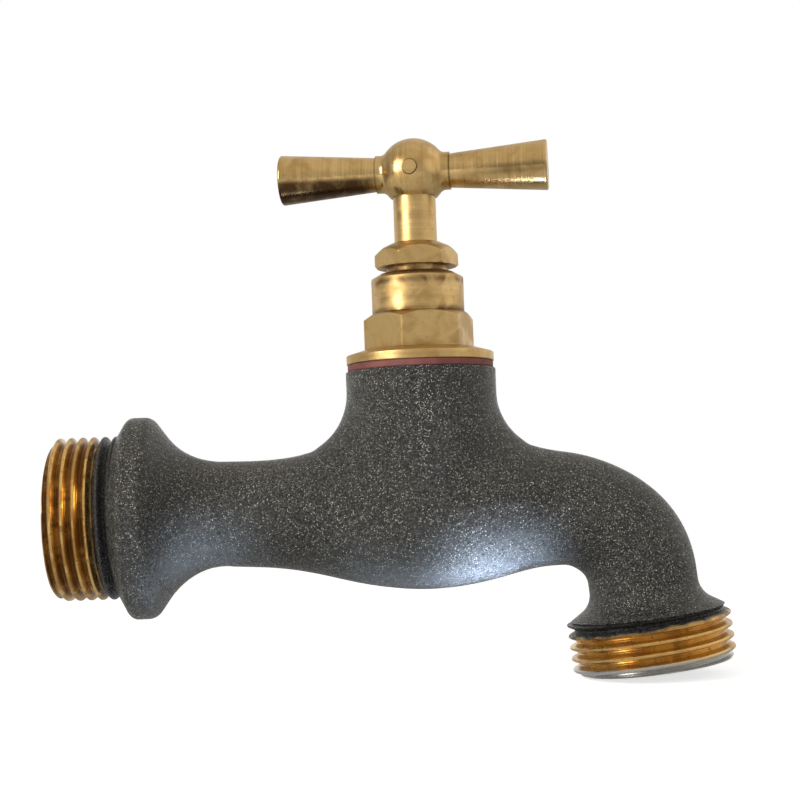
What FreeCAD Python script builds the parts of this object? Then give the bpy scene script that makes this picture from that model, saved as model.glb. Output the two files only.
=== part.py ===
import FreeCAD, Part
import math
import os

# Garden tap: a cast bib tap with a screw-down headwork and a T handle.
# Lengths are millimetres and angles are degrees.
# X runs from the wall to the spout and Z is up, along the headwork.
# The origin is on the inlet axis, in the plane of the inlet flange's wall face.

V = FreeCAD.Vector
UP = V(0, 0, 1)
ALONG = V(1, 0, 0)
BACK = V(0, 1, 0)

# Fits and clearances
RUNNING_FIT = 0.06
STATIC_FIT = 0.04
EDGE_ROUND = 0.3

# How far cutting shapes run past a face, how far joined shapes run into each other,
# and how close two places count as the same
OVERRUN = 1.0
OVERLAP = 0.5
SAME_PLACE = 0.01

# Pipe threads, the same size at the inlet and the outlet
PIPE_R = 13.2205
PIPE_PITCH = 1.814
PIPE_THREAD_DEPTH = 1.162
CREST_SHARE = 0.28
ROOT_SHARE = 0.10
CREST_SECTORS = 4
SECTOR_BEFORE_GROOVE_END = 1.0
LEAD_IN_DEPTH = 0.2
LEAD_IN_TURNS_BEFORE = 1.5
LEAD_IN_MARGIN = 0.15
INLET_THREAD_LENGTH = 10.5
OUTLET_THREAD_LENGTH = 8.3
THREAD_END_CHAMFER = 0.7
GROOVE_STOP = 1.1
GROOVE_PROUD_SHARE = 0.3

# Inlet flange, as an outline turned about the inlet axis
FLANGE_R = 16.4
FACE_LAND = 0.1
FLANGE_FACE_SLOPE = 1.15
FLANGE_EDGE_ROUND = 0.8
FLANGE_RIM_END = 4.0
FLANGE_SHOULDER_R = 2.3
FLARE_R = 12.0
FLARE_SLOPE = 55.0
FLARE_END_SLOPE = 8.0
PIPE_WAIST_R = 8.45

# Cast run from the inlet pipe over the belly to the spout.
# Each row is x from the headwork axis, top z, bottom z and half width.
HEAD_X = 49.35
RUN_ROWS = [
    (-24.5, 8.5, -9.0, 9.2),
    (-20.5, 8.95, -9.7, 9.7),
    (-16.5, 9.95, -10.6, 10.4),
    (-8.5, 11.3, -12.5, 11.9),
    (0.0, 11.8, -13.4, 12.6),
    (8.3, 11.5, -12.75, 12.2),
    (15.2, 10.4, -10.95, 10.9),
    (19.0, 9.0, -10.2, 9.8),
]
SECTION_POINTS = 16

# Neck that carries the headwork, with its flare along the run
NECK_R = 12.25
NECK_TOP_Z = 22.25
NECK_FLARE_R = 9.2
NECK_FLARE_TOP_DROP = 4.3
NECK_FLARE_SHARPNESS = 6
NECK_FLARE_STEPS = 6
NECK_SECTION_POINTS = 32
NECK_FLARE_SLOPE = 64.0
NECK_ROOT_Z = -3.0

# Spout elbow and skirt
PIVOT_FROM_HEAD = 22.35
PIVOT_Z = -13.9
ELBOW_INNER_R = 3.7
ELBOW_START_R = 9.2
ELBOW_END_R = 8.83
ELBOW_STEPS = 6
OUTLET_TILT = 6.0
SKIRT_START = 1.3
SKIRT_FLARE_R = 3.9
SKIRT_SLOPE = 58.0
SKIRT_R = 12.5
SKIRT_LIP = 0.35
CROSSING = 3.0

# Waterways
INLET_MOUTH_R = 9.0
INLET_MOUTH_DEPTH = 8.0
WATERWAY_R = 6.5
MOUTH_TAPER = 3.0
MOUTH_CROSSING = 0.3
BORE_END_FROM_HEAD = 17.0
DIVE_START_FROM_HEAD = 24.0
DIVE_START_R = 5.4
DIVE_START_DEPTH = 0.9
DIVE_END_R = 4.2
DIVE_DEPTH = 5.6
LOWER_CHAMBER_R = 6.8
LOWER_CHAMBER_ROOF_Z = -1.0
LOWER_CHAMBER_FLOOR_Z = -10.2
SEAT_R = 6.0
SEAT_Z = 3.2
SEAT_LIP_HEIGHT = 1.0
SEAT_LIP_WIDTH = 1.6

# Chamber over the seat, and the outlet's waterway
CHAMBER_R = 9.0
SOCKET_ROOM = 0.3
PORT_R = 4.5
PORT_RISE = 0.3
PORT_START = 3.0
PORT_CROSSING = 0.5
PORT_OVERLAP = 1.0
ELBOW_LEAD = 4.0
OUTLET_BORE_R = 9.4
OUTLET_BORE_DEPTH = 10.5

# Headwork bonnet
HEAD_THREAD_R = 10.4775
BONNET_TAIL_LENGTH = 9.0
WASHER_T = 1.15
WASHER_R = 11.9
BONNET_FLANGE_R = 12.05
BONNET_FLANGE_T = 1.45
BONNET_BEVEL_H = 0.85
BONNET_HEX_AF = 16.0
BONNET_HEX_TOP = 8.25
BONNET_HEX_CHAMFER_H = 1.15
BONNET_HEX_TURN = 12.2
COLLAR_R = 7.55
COLLAR_H = 6.55
COLLAR_CHAMFER_H = 0.9
COLLAR_CHAMFER_R = 1.6
GUIDE_BORE_R = 7.6
RELIEF_CLEARANCE = 0.3
GUIDE_BORE_DEPTH = 7.8
LEAD_NUT_LENGTH = 7.5

# Gland
PACKING_CHAMBER_R = 4.95
PACKING_FLOOR_T = 0.7
PACKING_RING_H = 1.3
PACKING_RINGS = 2
GLAND_WASHER_T = 0.8
GLAND_GAP = 1.0
GLAND_NUT_AF = 12.0
GLAND_NUT_H = 4.0
GLAND_NUT_DOME_H = 2.0
GLAND_NUT_DOME_R = 3.9
GLAND_NUT_DOME_BULGE = 0.62
GLAND_NUT_TURN = 4.5

# Spindle and its lifting screw
SPINDLE_R = 3.5
SPINDLE_REACH = 7.65
LEAD_R = 5.0
LEAD_DEPTH = 0.95
LEAD_PITCH = 2.2
LEAD_LENGTH = 9.5
LEAD_CREST_SHARE = 0.32
LEAD_ROOT_SHARE = 0.32
LIFT_TURNS = 2.0
LEAD_TOP_DROP = 1.54
LEAD_STOP_ROOM = 0.3
SPINDLE_FOOT_R = 4.6
SPINDLE_UNDERCUT_R = 4.0
SPINDLE_UNDERCUT_H = 1.0
SPIGOT_R = 2.45
SPIGOT_H = 6.6
SPIGOT_ROOM = 0.2

# Valve
VALVE_WASHER_T = 2.7
VALVE_WASHER_R = 7.2
VALVE_DISC_T = 2.3
VALVE_DISC_R = 7.5
VALVE_RIM_H = 1.2
VALVE_STEM_R = 2.5
VALVE_STEM_H = 12.0
VALVE_SCREW_R = 1.5
VALVE_SCREW_HEAD_R = 3.1
VALVE_SCREW_HEAD_H = 1.3
VALVE_SCREW_H = 8.5
VALVE_SLOT_W = 0.8
RING_DROP = 2.5
RING_H = 0.7
RING_DEPTH = 0.4
RING_CLEARANCE = 0.3
RING_SPLIT = 0.8
STEM_TOP_ROOM = 1.0

# T handle
BALL_R = 5.65
HUB_BASE_R = 3.9
BOSS_R = 3.1
BOSS_END = 6.1
BOSS_FILLET = 1.2
ARM_ROOT_R = 2.8
ARM_END_R = 4.15
ARM_LENGTH = 16.0
ARM_EDGE_ROUND = 0.35
ARM_STUD_R = 1.75
ARM_STUD_LENGTH = 3.0
HANDLE_YAW = -8.0
PIN_R = 1.15
PIN_PROUD = 0.12

# Heights that follow from the sizes above
BONNET_BASE_Z = NECK_TOP_Z + WASHER_T
BONNET_TOP_Z = BONNET_BASE_Z + BONNET_HEX_TOP + COLLAR_H
NUT_BASE_Z = BONNET_TOP_Z + GLAND_GAP
NUT_TOP_Z = NUT_BASE_Z + GLAND_NUT_H
HUB_BASE_Z = NUT_TOP_Z + SPINDLE_REACH
HANDLE_Z = HUB_BASE_Z + math.sqrt(BALL_R ** 2 - HUB_BASE_R ** 2)
TAIL_BASE_Z = NECK_TOP_Z - BONNET_TAIL_LENGTH
LEAD_NUT_Z = TAIL_BASE_Z + GUIDE_BORE_DEPTH
LEAD_NUT_TOP_Z = LEAD_NUT_Z + LEAD_NUT_LENGTH
LIFT = LEAD_PITCH * LIFT_TURNS
LEAD_TOP_Z = LEAD_NUT_TOP_Z - LEAD_TOP_DROP
LEAD_BASE_Z = LEAD_TOP_Z - LEAD_LENGTH
PACKING_FLOOR_Z = LEAD_TOP_Z + LIFT + LEAD_STOP_ROOM + PACKING_FLOOR_T
PACKING_Z = PACKING_FLOOR_Z + GLAND_WASHER_T
PACKING_TOP_Z = PACKING_Z + PACKING_RING_H * PACKING_RINGS
DISC_BASE_Z = SEAT_Z + VALVE_WASHER_T
DISC_TOP_Z = DISC_BASE_Z + VALVE_DISC_T
STEM_TOP_Z = DISC_TOP_Z + VALVE_STEM_H
CHAMBER_FLOOR_Z = SEAT_Z - SEAT_LIP_HEIGHT
PIVOT_X = HEAD_X + PIVOT_FROM_HEAD


def head(z):
    """Point on the headwork axis at height z."""
    return V(HEAD_X, 0, z)


def cylinder(radius, low, high):
    """Upright round bar on the headwork axis."""
    return Part.makeCylinder(radius, high - low, head(low), UP)


def tube(outer, inner, low, high):
    """Upright ring on the headwork axis."""
    return cylinder(outer, low, high).cut(cylinder(inner, low - OVERRUN, high + OVERRUN))


def turned(points, axis_point, axis):
    """Solid turned from a closed outline about an axis."""
    outline = Part.makePolygon(points + [points[0]])
    return Part.Face(outline).revolve(axis_point, axis, 360)


def turned_on_head(rows):
    """Solid turned about the headwork axis from rows of radius and height."""
    return turned([V(HEAD_X + radius, 0, z) for radius, z in rows], head(0), UP)


def hexagon(across_flats, low, high, turn):
    """Upright hexagonal bar whose front flat is turned towards the spout."""
    corner_r = across_flats / math.sqrt(3)
    corners = []
    for step in range(7):
        angle = math.radians(turn - 60 + 60 * step)
        corners.append(head(low) + V(corner_r * math.cos(angle), corner_r * math.sin(angle), 0))
    return Part.Face(Part.makePolygon(corners)).extrude(V(0, 0, high - low))


def place_along(shape, start, direction):
    """Moves a shape made along +Z so that it starts at a point and runs in a direction."""
    moved = shape.copy()
    moved.Placement = FreeCAD.Placement(start, FreeCAD.Rotation(UP, direction))
    return moved


def helical_bar(profile, pitch, start, length, radius):
    """Bar of a given profile swept up a right-hand helix about +Z.

    The profile is rows of radius and height from the helix.
    """
    helix = Part.makeHelix(pitch, length, radius)
    helix.translate(V(0, 0, start))
    corners = [V(r, 0, start + z) for r, z in profile]
    outline = Part.makePolygon(corners + [corners[0]])
    return Part.Wire(helix.Edges).makePipeShell([outline], True, True)


def thread_groove(major, depth, pitch, crest_share, root_share, start, length):
    """Groove between the turns of an outside thread, a little proud of the crests."""
    root_half = pitch * root_share / 2
    mouth_half = pitch * (1 - crest_share) / 2
    slope = (mouth_half - root_half) / depth
    proud = depth * GROOVE_PROUD_SHARE
    profile = [
        (major - depth, -root_half),
        (major + proud, -mouth_half - slope * proud),
        (major + proud, mouth_half + slope * proud),
        (major - depth, root_half),
    ]
    return helical_bar(profile, pitch, start, length, major)


def split_in_sectors(shape, radius, length, turn):
    """Cuts a bar along +Z into equal sectors and joins them, so that its wall is several faces."""
    angle = 360 / CREST_SECTORS
    sectors = []
    for step in range(CREST_SECTORS):
        wedge = Part.makeCylinder(2 * radius, length, V(0, 0, 0), UP, angle)
        wedge.rotate(V(0, 0, 0), UP, turn + angle * step)
        sectors.append(shape.common(wedge))
    return sectors[0].multiFuse(sectors[1:])


def lead_in_cut():
    """Helical cut that lowers the crest of a pipe thread where it starts, at its free end."""
    half_width = PIPE_PITCH / 2
    profile = [
        (PIPE_R - LEAD_IN_DEPTH, -half_width),
        (PIPE_R + OVERRUN, -half_width),
        (PIPE_R + OVERRUN, half_width),
        (PIPE_R - LEAD_IN_DEPTH, half_width),
    ]
    start = -LEAD_IN_TURNS_BEFORE * PIPE_PITCH
    end = THREAD_END_CHAMFER + PIPE_PITCH * CREST_SHARE / 2 + LEAD_IN_MARGIN
    return helical_bar(profile, PIPE_PITCH, start, end - start, PIPE_R)


def pipe_thread(length):
    """Threaded spigot along +Z, with its free end at zero."""
    groove_end = length - GROOVE_STOP
    groove = thread_groove(
        PIPE_R, PIPE_THREAD_DEPTH, PIPE_PITCH, CREST_SHARE, ROOT_SHARE,
        -PIPE_PITCH, groove_end + PIPE_PITCH,
    )
    cone = Part.makeCone(PIPE_R - THREAD_END_CHAMFER, PIPE_R, THREAD_END_CHAMFER)
    chamfer = Part.makeCylinder(PIPE_R + OVERRUN, THREAD_END_CHAMFER).cut(cone)
    bar = Part.makeCylinder(PIPE_R, length).cut(groove).cut(lead_in_cut()).cut(chamfer)
    groove_end_turn = 360 * groove_end / PIPE_PITCH
    return split_in_sectors(bar, PIPE_R, length, groove_end_turn - SECTOR_BEFORE_GROOVE_END)


def closed_curve(points):
    """Smooth closed curve whose points are evenly spread along it."""
    curve = Part.BSplineCurve()
    even = [step / len(points) for step in range(len(points) + 1)]
    curve.interpolate(Points=points, PeriodicFlag=True, Parameters=even)
    return Part.Wire(curve.toShape())


def oval(centre, across, upward, half_across, half_up):
    """Closed smooth section, given by two directions and two half sizes."""
    points = []
    for step in range(SECTION_POINTS):
        angle = 2 * math.pi * step / SECTION_POINTS
        offset = across * (half_across * math.cos(angle)) + upward * (half_up * math.sin(angle))
        points.append(centre + offset)
    return closed_curve(points)


def neck_section(z, flare):
    """Section of the neck: a circle drawn out along the run by the flare."""
    points = []
    for step in range(NECK_SECTION_POINTS):
        angle = 2 * math.pi * step / NECK_SECTION_POINTS
        radius = NECK_R + flare * abs(math.cos(angle)) ** NECK_FLARE_SHARPNESS
        points.append(head(z) + V(radius * math.cos(angle), radius * math.sin(angle), 0))
    return closed_curve(points)


def flare_end_x():
    """Where the inlet flare has come down to the pipe's waist."""
    slope = math.radians(FLARE_SLOPE)
    both = FLANGE_SHOULDER_R + FLARE_R
    straight = (FLANGE_R - PIPE_WAIST_R - both * (1 - math.cos(slope))) / math.sin(slope)
    return FLANGE_RIM_END + both * math.sin(slope) + straight * math.cos(slope)


def inlet_flange():
    """Flange, shoulder and flare turned about the inlet axis."""
    slope = math.radians(FLARE_SLOPE)
    end_slope = math.radians(FLARE_END_SLOPE)
    end_x = flare_end_x()
    shoulder_z = FLANGE_R - FLANGE_SHOULDER_R
    flare_z = PIPE_WAIST_R + FLARE_R
    corner = FLANGE_EDGE_ROUND * math.sin(math.pi / 4)
    face_top = V(FLANGE_FACE_SLOPE, 0, FLANGE_R - FLANGE_EDGE_ROUND)
    rim_start = V(FLANGE_FACE_SLOPE + FLANGE_EDGE_ROUND, 0, FLANGE_R)
    rim_mid = V(rim_start.x - corner, 0, face_top.z + corner)
    rim_end = V(FLANGE_RIM_END, 0, FLANGE_R)

    def shoulder(angle):
        reach = FLANGE_SHOULDER_R * math.sin(angle)
        return V(FLANGE_RIM_END + reach, 0, shoulder_z + FLANGE_SHOULDER_R * math.cos(angle))

    def flare(angle):
        return V(end_x - FLARE_R * math.sin(angle), 0, flare_z - FLARE_R * math.cos(angle))

    tail = flare(end_slope) + V(CROSSING, 0, -CROSSING * math.tan(end_slope))
    face_edge = V(0, 0, PIPE_R + FACE_LAND)
    edges = [
        Part.makeLine(V(0, 0, 0), face_edge),
        Part.makeLine(face_edge, face_top),
        Part.Arc(face_top, rim_mid, rim_start).toShape(),
        Part.makeLine(rim_start, rim_end),
        Part.Arc(rim_end, shoulder(slope / 2), shoulder(slope)).toShape(),
        Part.makeLine(shoulder(slope), flare(slope)),
        Part.Arc(flare(slope), flare((slope + end_slope) / 2), flare(end_slope)).toShape(),
        Part.makeLine(flare(end_slope), tail),
        Part.makeLine(tail, V(tail.x, 0, 0)),
        Part.makeLine(V(tail.x, 0, 0), V(0, 0, 0)),
    ]
    return Part.Face(Part.Wire(edges)).revolve(V(0, 0, 0), ALONG, 360)


def elbow_outward(angle):
    """Direction away from the elbow's pivot, an angle round from the top."""
    turn = math.radians(angle)
    return V(math.sin(turn), 0, math.cos(turn))


def elbow_centre(angle, tube_r):
    """Centre of the elbow's section whose radius is tube_r."""
    return V(PIVOT_X, 0, PIVOT_Z) + elbow_outward(angle) * (ELBOW_INNER_R + tube_r)


ELBOW_SWEEP = 90 - OUTLET_TILT
OUTLET_ROOT = elbow_centre(ELBOW_SWEEP, ELBOW_END_R)
OUTLET_ACROSS = elbow_outward(ELBOW_SWEEP)
OUTLET_AXIS = elbow_outward(ELBOW_SWEEP + 90)


def skirt_length():
    """Length of the skirt's flare, from its start to its lip."""
    slope = math.radians(SKIRT_SLOPE)
    straight = (SKIRT_R - ELBOW_END_R - SKIRT_FLARE_R * (1 - math.cos(slope))) / math.sin(slope)
    return SKIRT_FLARE_R * math.sin(slope) + straight * math.cos(slope)


OUTLET_THREAD_START = SKIRT_START + skirt_length() + SKIRT_LIP
OUTLET_END = OUTLET_THREAD_START + OUTLET_THREAD_LENGTH


def outlet_point(distance):
    """Point on the outlet axis, a distance on from the elbow's end."""
    return OUTLET_ROOT + OUTLET_AXIS * distance


def cast_run():
    """Pipe, belly and elbow as one skin through their sections."""
    end_x = flare_end_x()
    sections = []
    for x in (end_x - 2 * CROSSING, end_x):
        sections.append(oval(V(x, 0, 0), BACK, UP, PIPE_WAIST_R, PIPE_WAIST_R))
    for x, top, bottom, half_width in RUN_ROWS:
        centre = V(HEAD_X + x, 0, (top + bottom) / 2)
        sections.append(oval(centre, BACK, UP, half_width, (top - bottom) / 2))
    for step in range(ELBOW_STEPS):
        share = step / (ELBOW_STEPS - 1)
        tube_r = ELBOW_START_R + (ELBOW_END_R - ELBOW_START_R) * share
        angle = ELBOW_SWEEP * share
        centre = elbow_centre(angle, tube_r)
        sections.append(oval(centre, BACK, elbow_outward(angle), tube_r, tube_r))
    inside_skirt = outlet_point(SKIRT_START + CROSSING)
    sections.append(oval(inside_skirt, BACK, OUTLET_ACROSS, ELBOW_END_R, ELBOW_END_R))
    return Part.makeLoft(sections, True, False)


def spout_skirt():
    """Flared skirt turned about the outlet axis, down to its lip."""
    slope = math.radians(SKIRT_SLOPE)
    start_slope = math.radians(FLARE_END_SLOPE)

    def outline_point(distance, radius):
        return outlet_point(SKIRT_START + distance) + OUTLET_ACROSS * radius

    def flare(angle):
        radius = ELBOW_END_R + SKIRT_FLARE_R * (1 - math.cos(angle))
        return outline_point(SKIRT_FLARE_R * math.sin(angle), radius)

    inside = flare(start_slope) - OUTLET_AXIS * CROSSING
    inside -= OUTLET_ACROSS * (CROSSING * math.tan(start_slope))
    inside_axis = outlet_point((inside - OUTLET_ROOT).dot(OUTLET_AXIS))
    lip = outline_point(skirt_length(), SKIRT_R)
    lip_end = outline_point(skirt_length() + SKIRT_LIP, SKIRT_R - SKIRT_LIP)
    edges = [
        Part.makeLine(inside_axis, inside),
        Part.makeLine(inside, flare(start_slope)),
        Part.Arc(flare(start_slope), flare((slope + start_slope) / 2), flare(slope)).toShape(),
        Part.makeLine(flare(slope), lip),
        Part.makeLine(lip, lip_end),
        Part.makeLine(lip_end, outlet_point(OUTLET_THREAD_START)),
        Part.makeLine(outlet_point(OUTLET_THREAD_START), inside_axis),
    ]
    return Part.Face(Part.Wire(edges)).revolve(OUTLET_ROOT, OUTLET_AXIS, 360)


def cast_neck():
    """Neck under the headwork, flared into the run on both sides, and its root in the run."""
    flare_top = NECK_TOP_Z - NECK_FLARE_TOP_DROP
    sections = [neck_section(NECK_TOP_Z, 0), neck_section(flare_top, 0)]
    for step in range(1, NECK_FLARE_STEPS + 1):
        angle = math.radians(NECK_FLARE_SLOPE * step / NECK_FLARE_STEPS)
        drop = NECK_FLARE_R * math.sin(angle)
        sections.append(neck_section(flare_top - drop, NECK_FLARE_R * (1 - math.cos(angle))))
    above = Part.makeLoft(sections, True, False)
    below = Part.makeLoft([sections[-1], neck_section(NECK_ROOT_Z, 0)], True, True)
    return above.fuse(below)


def mouth_space(mouth_r, depth, end, inward):
    """Counterbore that tapers into a waterway, from an end point inwards."""
    outline = turned(
        [
            V(0, 0, -OVERRUN),
            V(mouth_r, 0, -OVERRUN),
            V(mouth_r, 0, depth),
            V(WATERWAY_R - MOUTH_CROSSING, 0, depth + MOUTH_TAPER),
            V(0, 0, depth + MOUTH_TAPER),
        ],
        V(0, 0, 0), UP,
    )
    return place_along(outline, end, inward)


def inlet_waterway():
    """Mouth, straight bore and the passage that dives under the seat."""
    mouth_end = INLET_MOUTH_DEPTH - INLET_THREAD_LENGTH
    bore_start = mouth_end + MOUTH_TAPER / 2
    bore_end = HEAD_X - BORE_END_FROM_HEAD
    bore = Part.makeCylinder(WATERWAY_R, bore_end - bore_start, V(bore_start, 0, 0), ALONG)
    dive_start = V(HEAD_X - DIVE_START_FROM_HEAD, 0, -DIVE_START_DEPTH)
    slope = head(-DIVE_DEPTH) - dive_start
    dive = Part.makeCone(DIVE_START_R, DIVE_END_R, slope.Length, dive_start, slope)
    mouth = mouth_space(INLET_MOUTH_R, INLET_MOUTH_DEPTH, V(-INLET_THREAD_LENGTH, 0, 0), ALONG)
    return [mouth, bore, dive]


def outlet_port():
    """Sloped port from the chamber over the seat down to the elbow's bore."""
    low_z = elbow_centre(0, ELBOW_END_R).z
    high = head(CHAMBER_FLOOR_Z + PORT_R + PORT_RISE) + ALONG * CHAMBER_R
    low = V(PIVOT_X - ELBOW_LEAD + PORT_OVERLAP, 0, low_z)
    slope = (low - high).normalize()
    start = high - slope * PORT_START
    bar = Part.makeCylinder(PORT_R, (low - start).Length, start, slope)
    return bar.cut(cylinder(CHAMBER_R - PORT_CROSSING, -NECK_TOP_Z, NECK_TOP_Z))


def outlet_waterway():
    """Mouth, elbow bore and port of the outlet."""
    top = elbow_centre(0, ELBOW_END_R)
    start = top - ALONG * ELBOW_LEAD
    half_way = elbow_centre(ELBOW_SWEEP / 2, ELBOW_END_R)
    bore_end = outlet_point(OUTLET_END - OUTLET_BORE_DEPTH + MOUTH_TAPER / 2)
    path = Part.Wire([
        Part.makeLine(start, top),
        Part.Arc(top, half_way, OUTLET_ROOT).toShape(),
        Part.makeLine(OUTLET_ROOT, bore_end),
    ])
    section = Part.Wire(Part.makeCircle(WATERWAY_R, start, ALONG))
    bend = path.makePipeShell([section], True, False)
    mouth = mouth_space(
        OUTLET_BORE_R, OUTLET_BORE_DEPTH, outlet_point(OUTLET_END), OUTLET_AXIS * -1
    )
    return [mouth, bend, outlet_port()]


def head_socket():
    """Chambers under and over the seat, and socket for the bonnet's tail, turned in one."""
    lip_r = SEAT_R + SEAT_LIP_WIDTH
    socket_r = HEAD_THREAD_R + STATIC_FIT
    socket_z = TAIL_BASE_Z - SOCKET_ROOM
    return turned_on_head([
        (0, LOWER_CHAMBER_FLOOR_Z),
        (LOWER_CHAMBER_R, LOWER_CHAMBER_FLOOR_Z),
        (LOWER_CHAMBER_R, LOWER_CHAMBER_ROOF_Z),
        (SEAT_R, LOWER_CHAMBER_ROOF_Z),
        (SEAT_R, SEAT_Z),
        (lip_r, SEAT_Z),
        (lip_r, CHAMBER_FLOOR_Z),
        (CHAMBER_R, CHAMBER_FLOOR_Z),
        (CHAMBER_R, socket_z),
        (socket_r, socket_z),
        (socket_r, NECK_TOP_Z + OVERRUN),
        (0, NECK_TOP_Z + OVERRUN),
    ])


def tap_body():
    """Cast body with its two pipe threads, its seat and its waterways."""
    inlet_thread = place_along(
        pipe_thread(INLET_THREAD_LENGTH), V(-INLET_THREAD_LENGTH, 0, 0), ALONG
    )
    outlet_thread = place_along(
        pipe_thread(OUTLET_THREAD_LENGTH), outlet_point(OUTLET_END), OUTLET_AXIS * -1
    )
    body = inlet_flange().fuse(cast_run()).fuse(spout_skirt()).fuse(cast_neck())
    for cutter in [head_socket()] + inlet_waterway() + outlet_waterway():
        body = body.cut(cutter)
    inlet_thread = inlet_thread.cut(inlet_waterway()[0])
    outlet_thread = outlet_thread.cut(outlet_waterway()[0])
    return body.multiFuse([inlet_thread, outlet_thread])


def bonnet_washer():
    """Fibre washer between the neck and the bonnet's flange."""
    return tube(WASHER_R, HEAD_THREAD_R + STATIC_FIT, NECK_TOP_Z, BONNET_BASE_Z)


def bonnet():
    """Screwed headwork casing: tail, flange, hexagon and collar."""
    hex_base = BONNET_BASE_Z + BONNET_FLANGE_T + BONNET_BEVEL_H
    hex_top = BONNET_BASE_Z + BONNET_HEX_TOP
    corner_r = BONNET_HEX_AF / math.sqrt(3)
    hex_bar = hexagon(BONNET_HEX_AF, BONNET_BASE_Z + BONNET_FLANGE_T, hex_top, BONNET_HEX_TURN)
    outside_r = corner_r + OVERRUN
    drop = BONNET_HEX_CHAMFER_H * (outside_r - COLLAR_R) / (corner_r - COLLAR_R)
    hex_envelope = turned_on_head([
        (0, BONNET_BASE_Z),
        (outside_r, BONNET_BASE_Z),
        (outside_r, hex_top - drop),
        (COLLAR_R, hex_top),
        (0, hex_top),
    ])
    casing = turned_on_head([
        (0, TAIL_BASE_Z),
        (HEAD_THREAD_R - EDGE_ROUND, TAIL_BASE_Z),
        (HEAD_THREAD_R, TAIL_BASE_Z + EDGE_ROUND),
        (HEAD_THREAD_R, BONNET_BASE_Z),
        (BONNET_FLANGE_R, BONNET_BASE_Z),
        (BONNET_FLANGE_R, BONNET_BASE_Z + BONNET_FLANGE_T),
        (corner_r, hex_base),
        (BONNET_HEX_AF / 2 - EDGE_ROUND, hex_base + EDGE_ROUND),
        (COLLAR_R, hex_base + EDGE_ROUND),
        (COLLAR_R, BONNET_TOP_Z - COLLAR_CHAMFER_H),
        (COLLAR_R - COLLAR_CHAMFER_R, BONNET_TOP_Z),
        (0, BONNET_TOP_Z),
    ])
    shape = casing.fuse(hex_bar.common(hex_envelope))
    guide_z = TAIL_BASE_Z - OVERRUN
    lead_r = LEAD_R + RUNNING_FIT
    relief_r = LEAD_R + RELIEF_CLEARANCE
    spindle_r = SPINDLE_R + RUNNING_FIT
    packing_r = PACKING_CHAMBER_R + STATIC_FIT
    bore = turned_on_head([
        (0, guide_z),
        (GUIDE_BORE_R, guide_z),
        (GUIDE_BORE_R, LEAD_NUT_Z),
        (lead_r, LEAD_NUT_Z),
        (lead_r, LEAD_NUT_TOP_Z),
        (relief_r, LEAD_NUT_TOP_Z),
        (relief_r, PACKING_FLOOR_Z - PACKING_FLOOR_T),
        (spindle_r, PACKING_FLOOR_Z - PACKING_FLOOR_T),
        (spindle_r, PACKING_FLOOR_Z),
        (packing_r, PACKING_FLOOR_Z),
        (packing_r, BONNET_TOP_Z + OVERRUN),
        (0, BONNET_TOP_Z + OVERRUN),
    ])
    return shape.cut(bore)


def lead_screw():
    """Threaded length of the spindle."""
    turns = math.ceil(LEAD_LENGTH / LEAD_PITCH) + 1
    groove = thread_groove(
        LEAD_R, LEAD_DEPTH, LEAD_PITCH, LEAD_CREST_SHARE, LEAD_ROOT_SHARE,
        -LEAD_PITCH, turns * LEAD_PITCH,
    )
    screw = Part.makeCylinder(LEAD_R, LEAD_LENGTH).cut(groove)
    screw.translate(head(LEAD_BASE_Z))
    return screw


def spindle():
    """Threaded spindle, from its foot on the valve to its spigot in the handle."""
    shape = lead_screw()
    shape = shape.multiFuse([
        cylinder(SPINDLE_R, LEAD_TOP_Z - OVERLAP, HUB_BASE_Z),
        cylinder(SPINDLE_UNDERCUT_R, LEAD_BASE_Z - SPINDLE_UNDERCUT_H, LEAD_BASE_Z + OVERLAP),
        cylinder(SPINDLE_FOOT_R, DISC_TOP_Z, LEAD_BASE_Z - SPINDLE_UNDERCUT_H),
        cylinder(SPIGOT_R, HUB_BASE_Z - OVERLAP, HUB_BASE_Z + SPIGOT_H),
    ])
    bore = cylinder(VALVE_STEM_R + RUNNING_FIT, DISC_TOP_Z - OVERRUN, STEM_TOP_Z + STEM_TOP_ROOM)
    ring_z = STEM_TOP_Z - RING_DROP
    space_r = VALVE_STEM_R + RING_DEPTH + RING_CLEARANCE
    ring_space = cylinder(space_r, ring_z - RING_CLEARANCE, ring_z + RING_H + RING_CLEARANCE)
    return shape.cut(bore).cut(ring_space).cut(pin_bar(PIN_R + STATIC_FIT, 2 * BALL_R))


def valve_carrier():
    """Disc and stem that carry the valve washer."""
    disc = cylinder(VALVE_DISC_R, DISC_BASE_Z, DISC_TOP_Z)
    washer_r = VALVE_WASHER_R + STATIC_FIT
    rim = tube(VALVE_DISC_R, washer_r, DISC_BASE_Z - VALVE_RIM_H, DISC_BASE_Z)
    stem = cylinder(VALVE_STEM_R, DISC_TOP_Z - OVERLAP, STEM_TOP_Z)
    ring_z = STEM_TOP_Z - RING_DROP
    groove = tube(VALVE_STEM_R + OVERRUN, VALVE_STEM_R - RING_DEPTH, ring_z, ring_z + RING_H)
    tapping = cylinder(VALVE_SCREW_R + STATIC_FIT, DISC_BASE_Z - OVERRUN, valve_screw_top())
    return disc.multiFuse([rim, stem]).cut(groove).cut(tapping)


def valve_screw_top():
    """Height of the tip of the valve washer's screw."""
    return SEAT_Z + VALVE_SCREW_H


def valve_washer():
    """Rubber washer that closes on the seat."""
    return tube(VALVE_WASHER_R, VALVE_SCREW_R + STATIC_FIT, SEAT_Z, DISC_BASE_Z)


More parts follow.
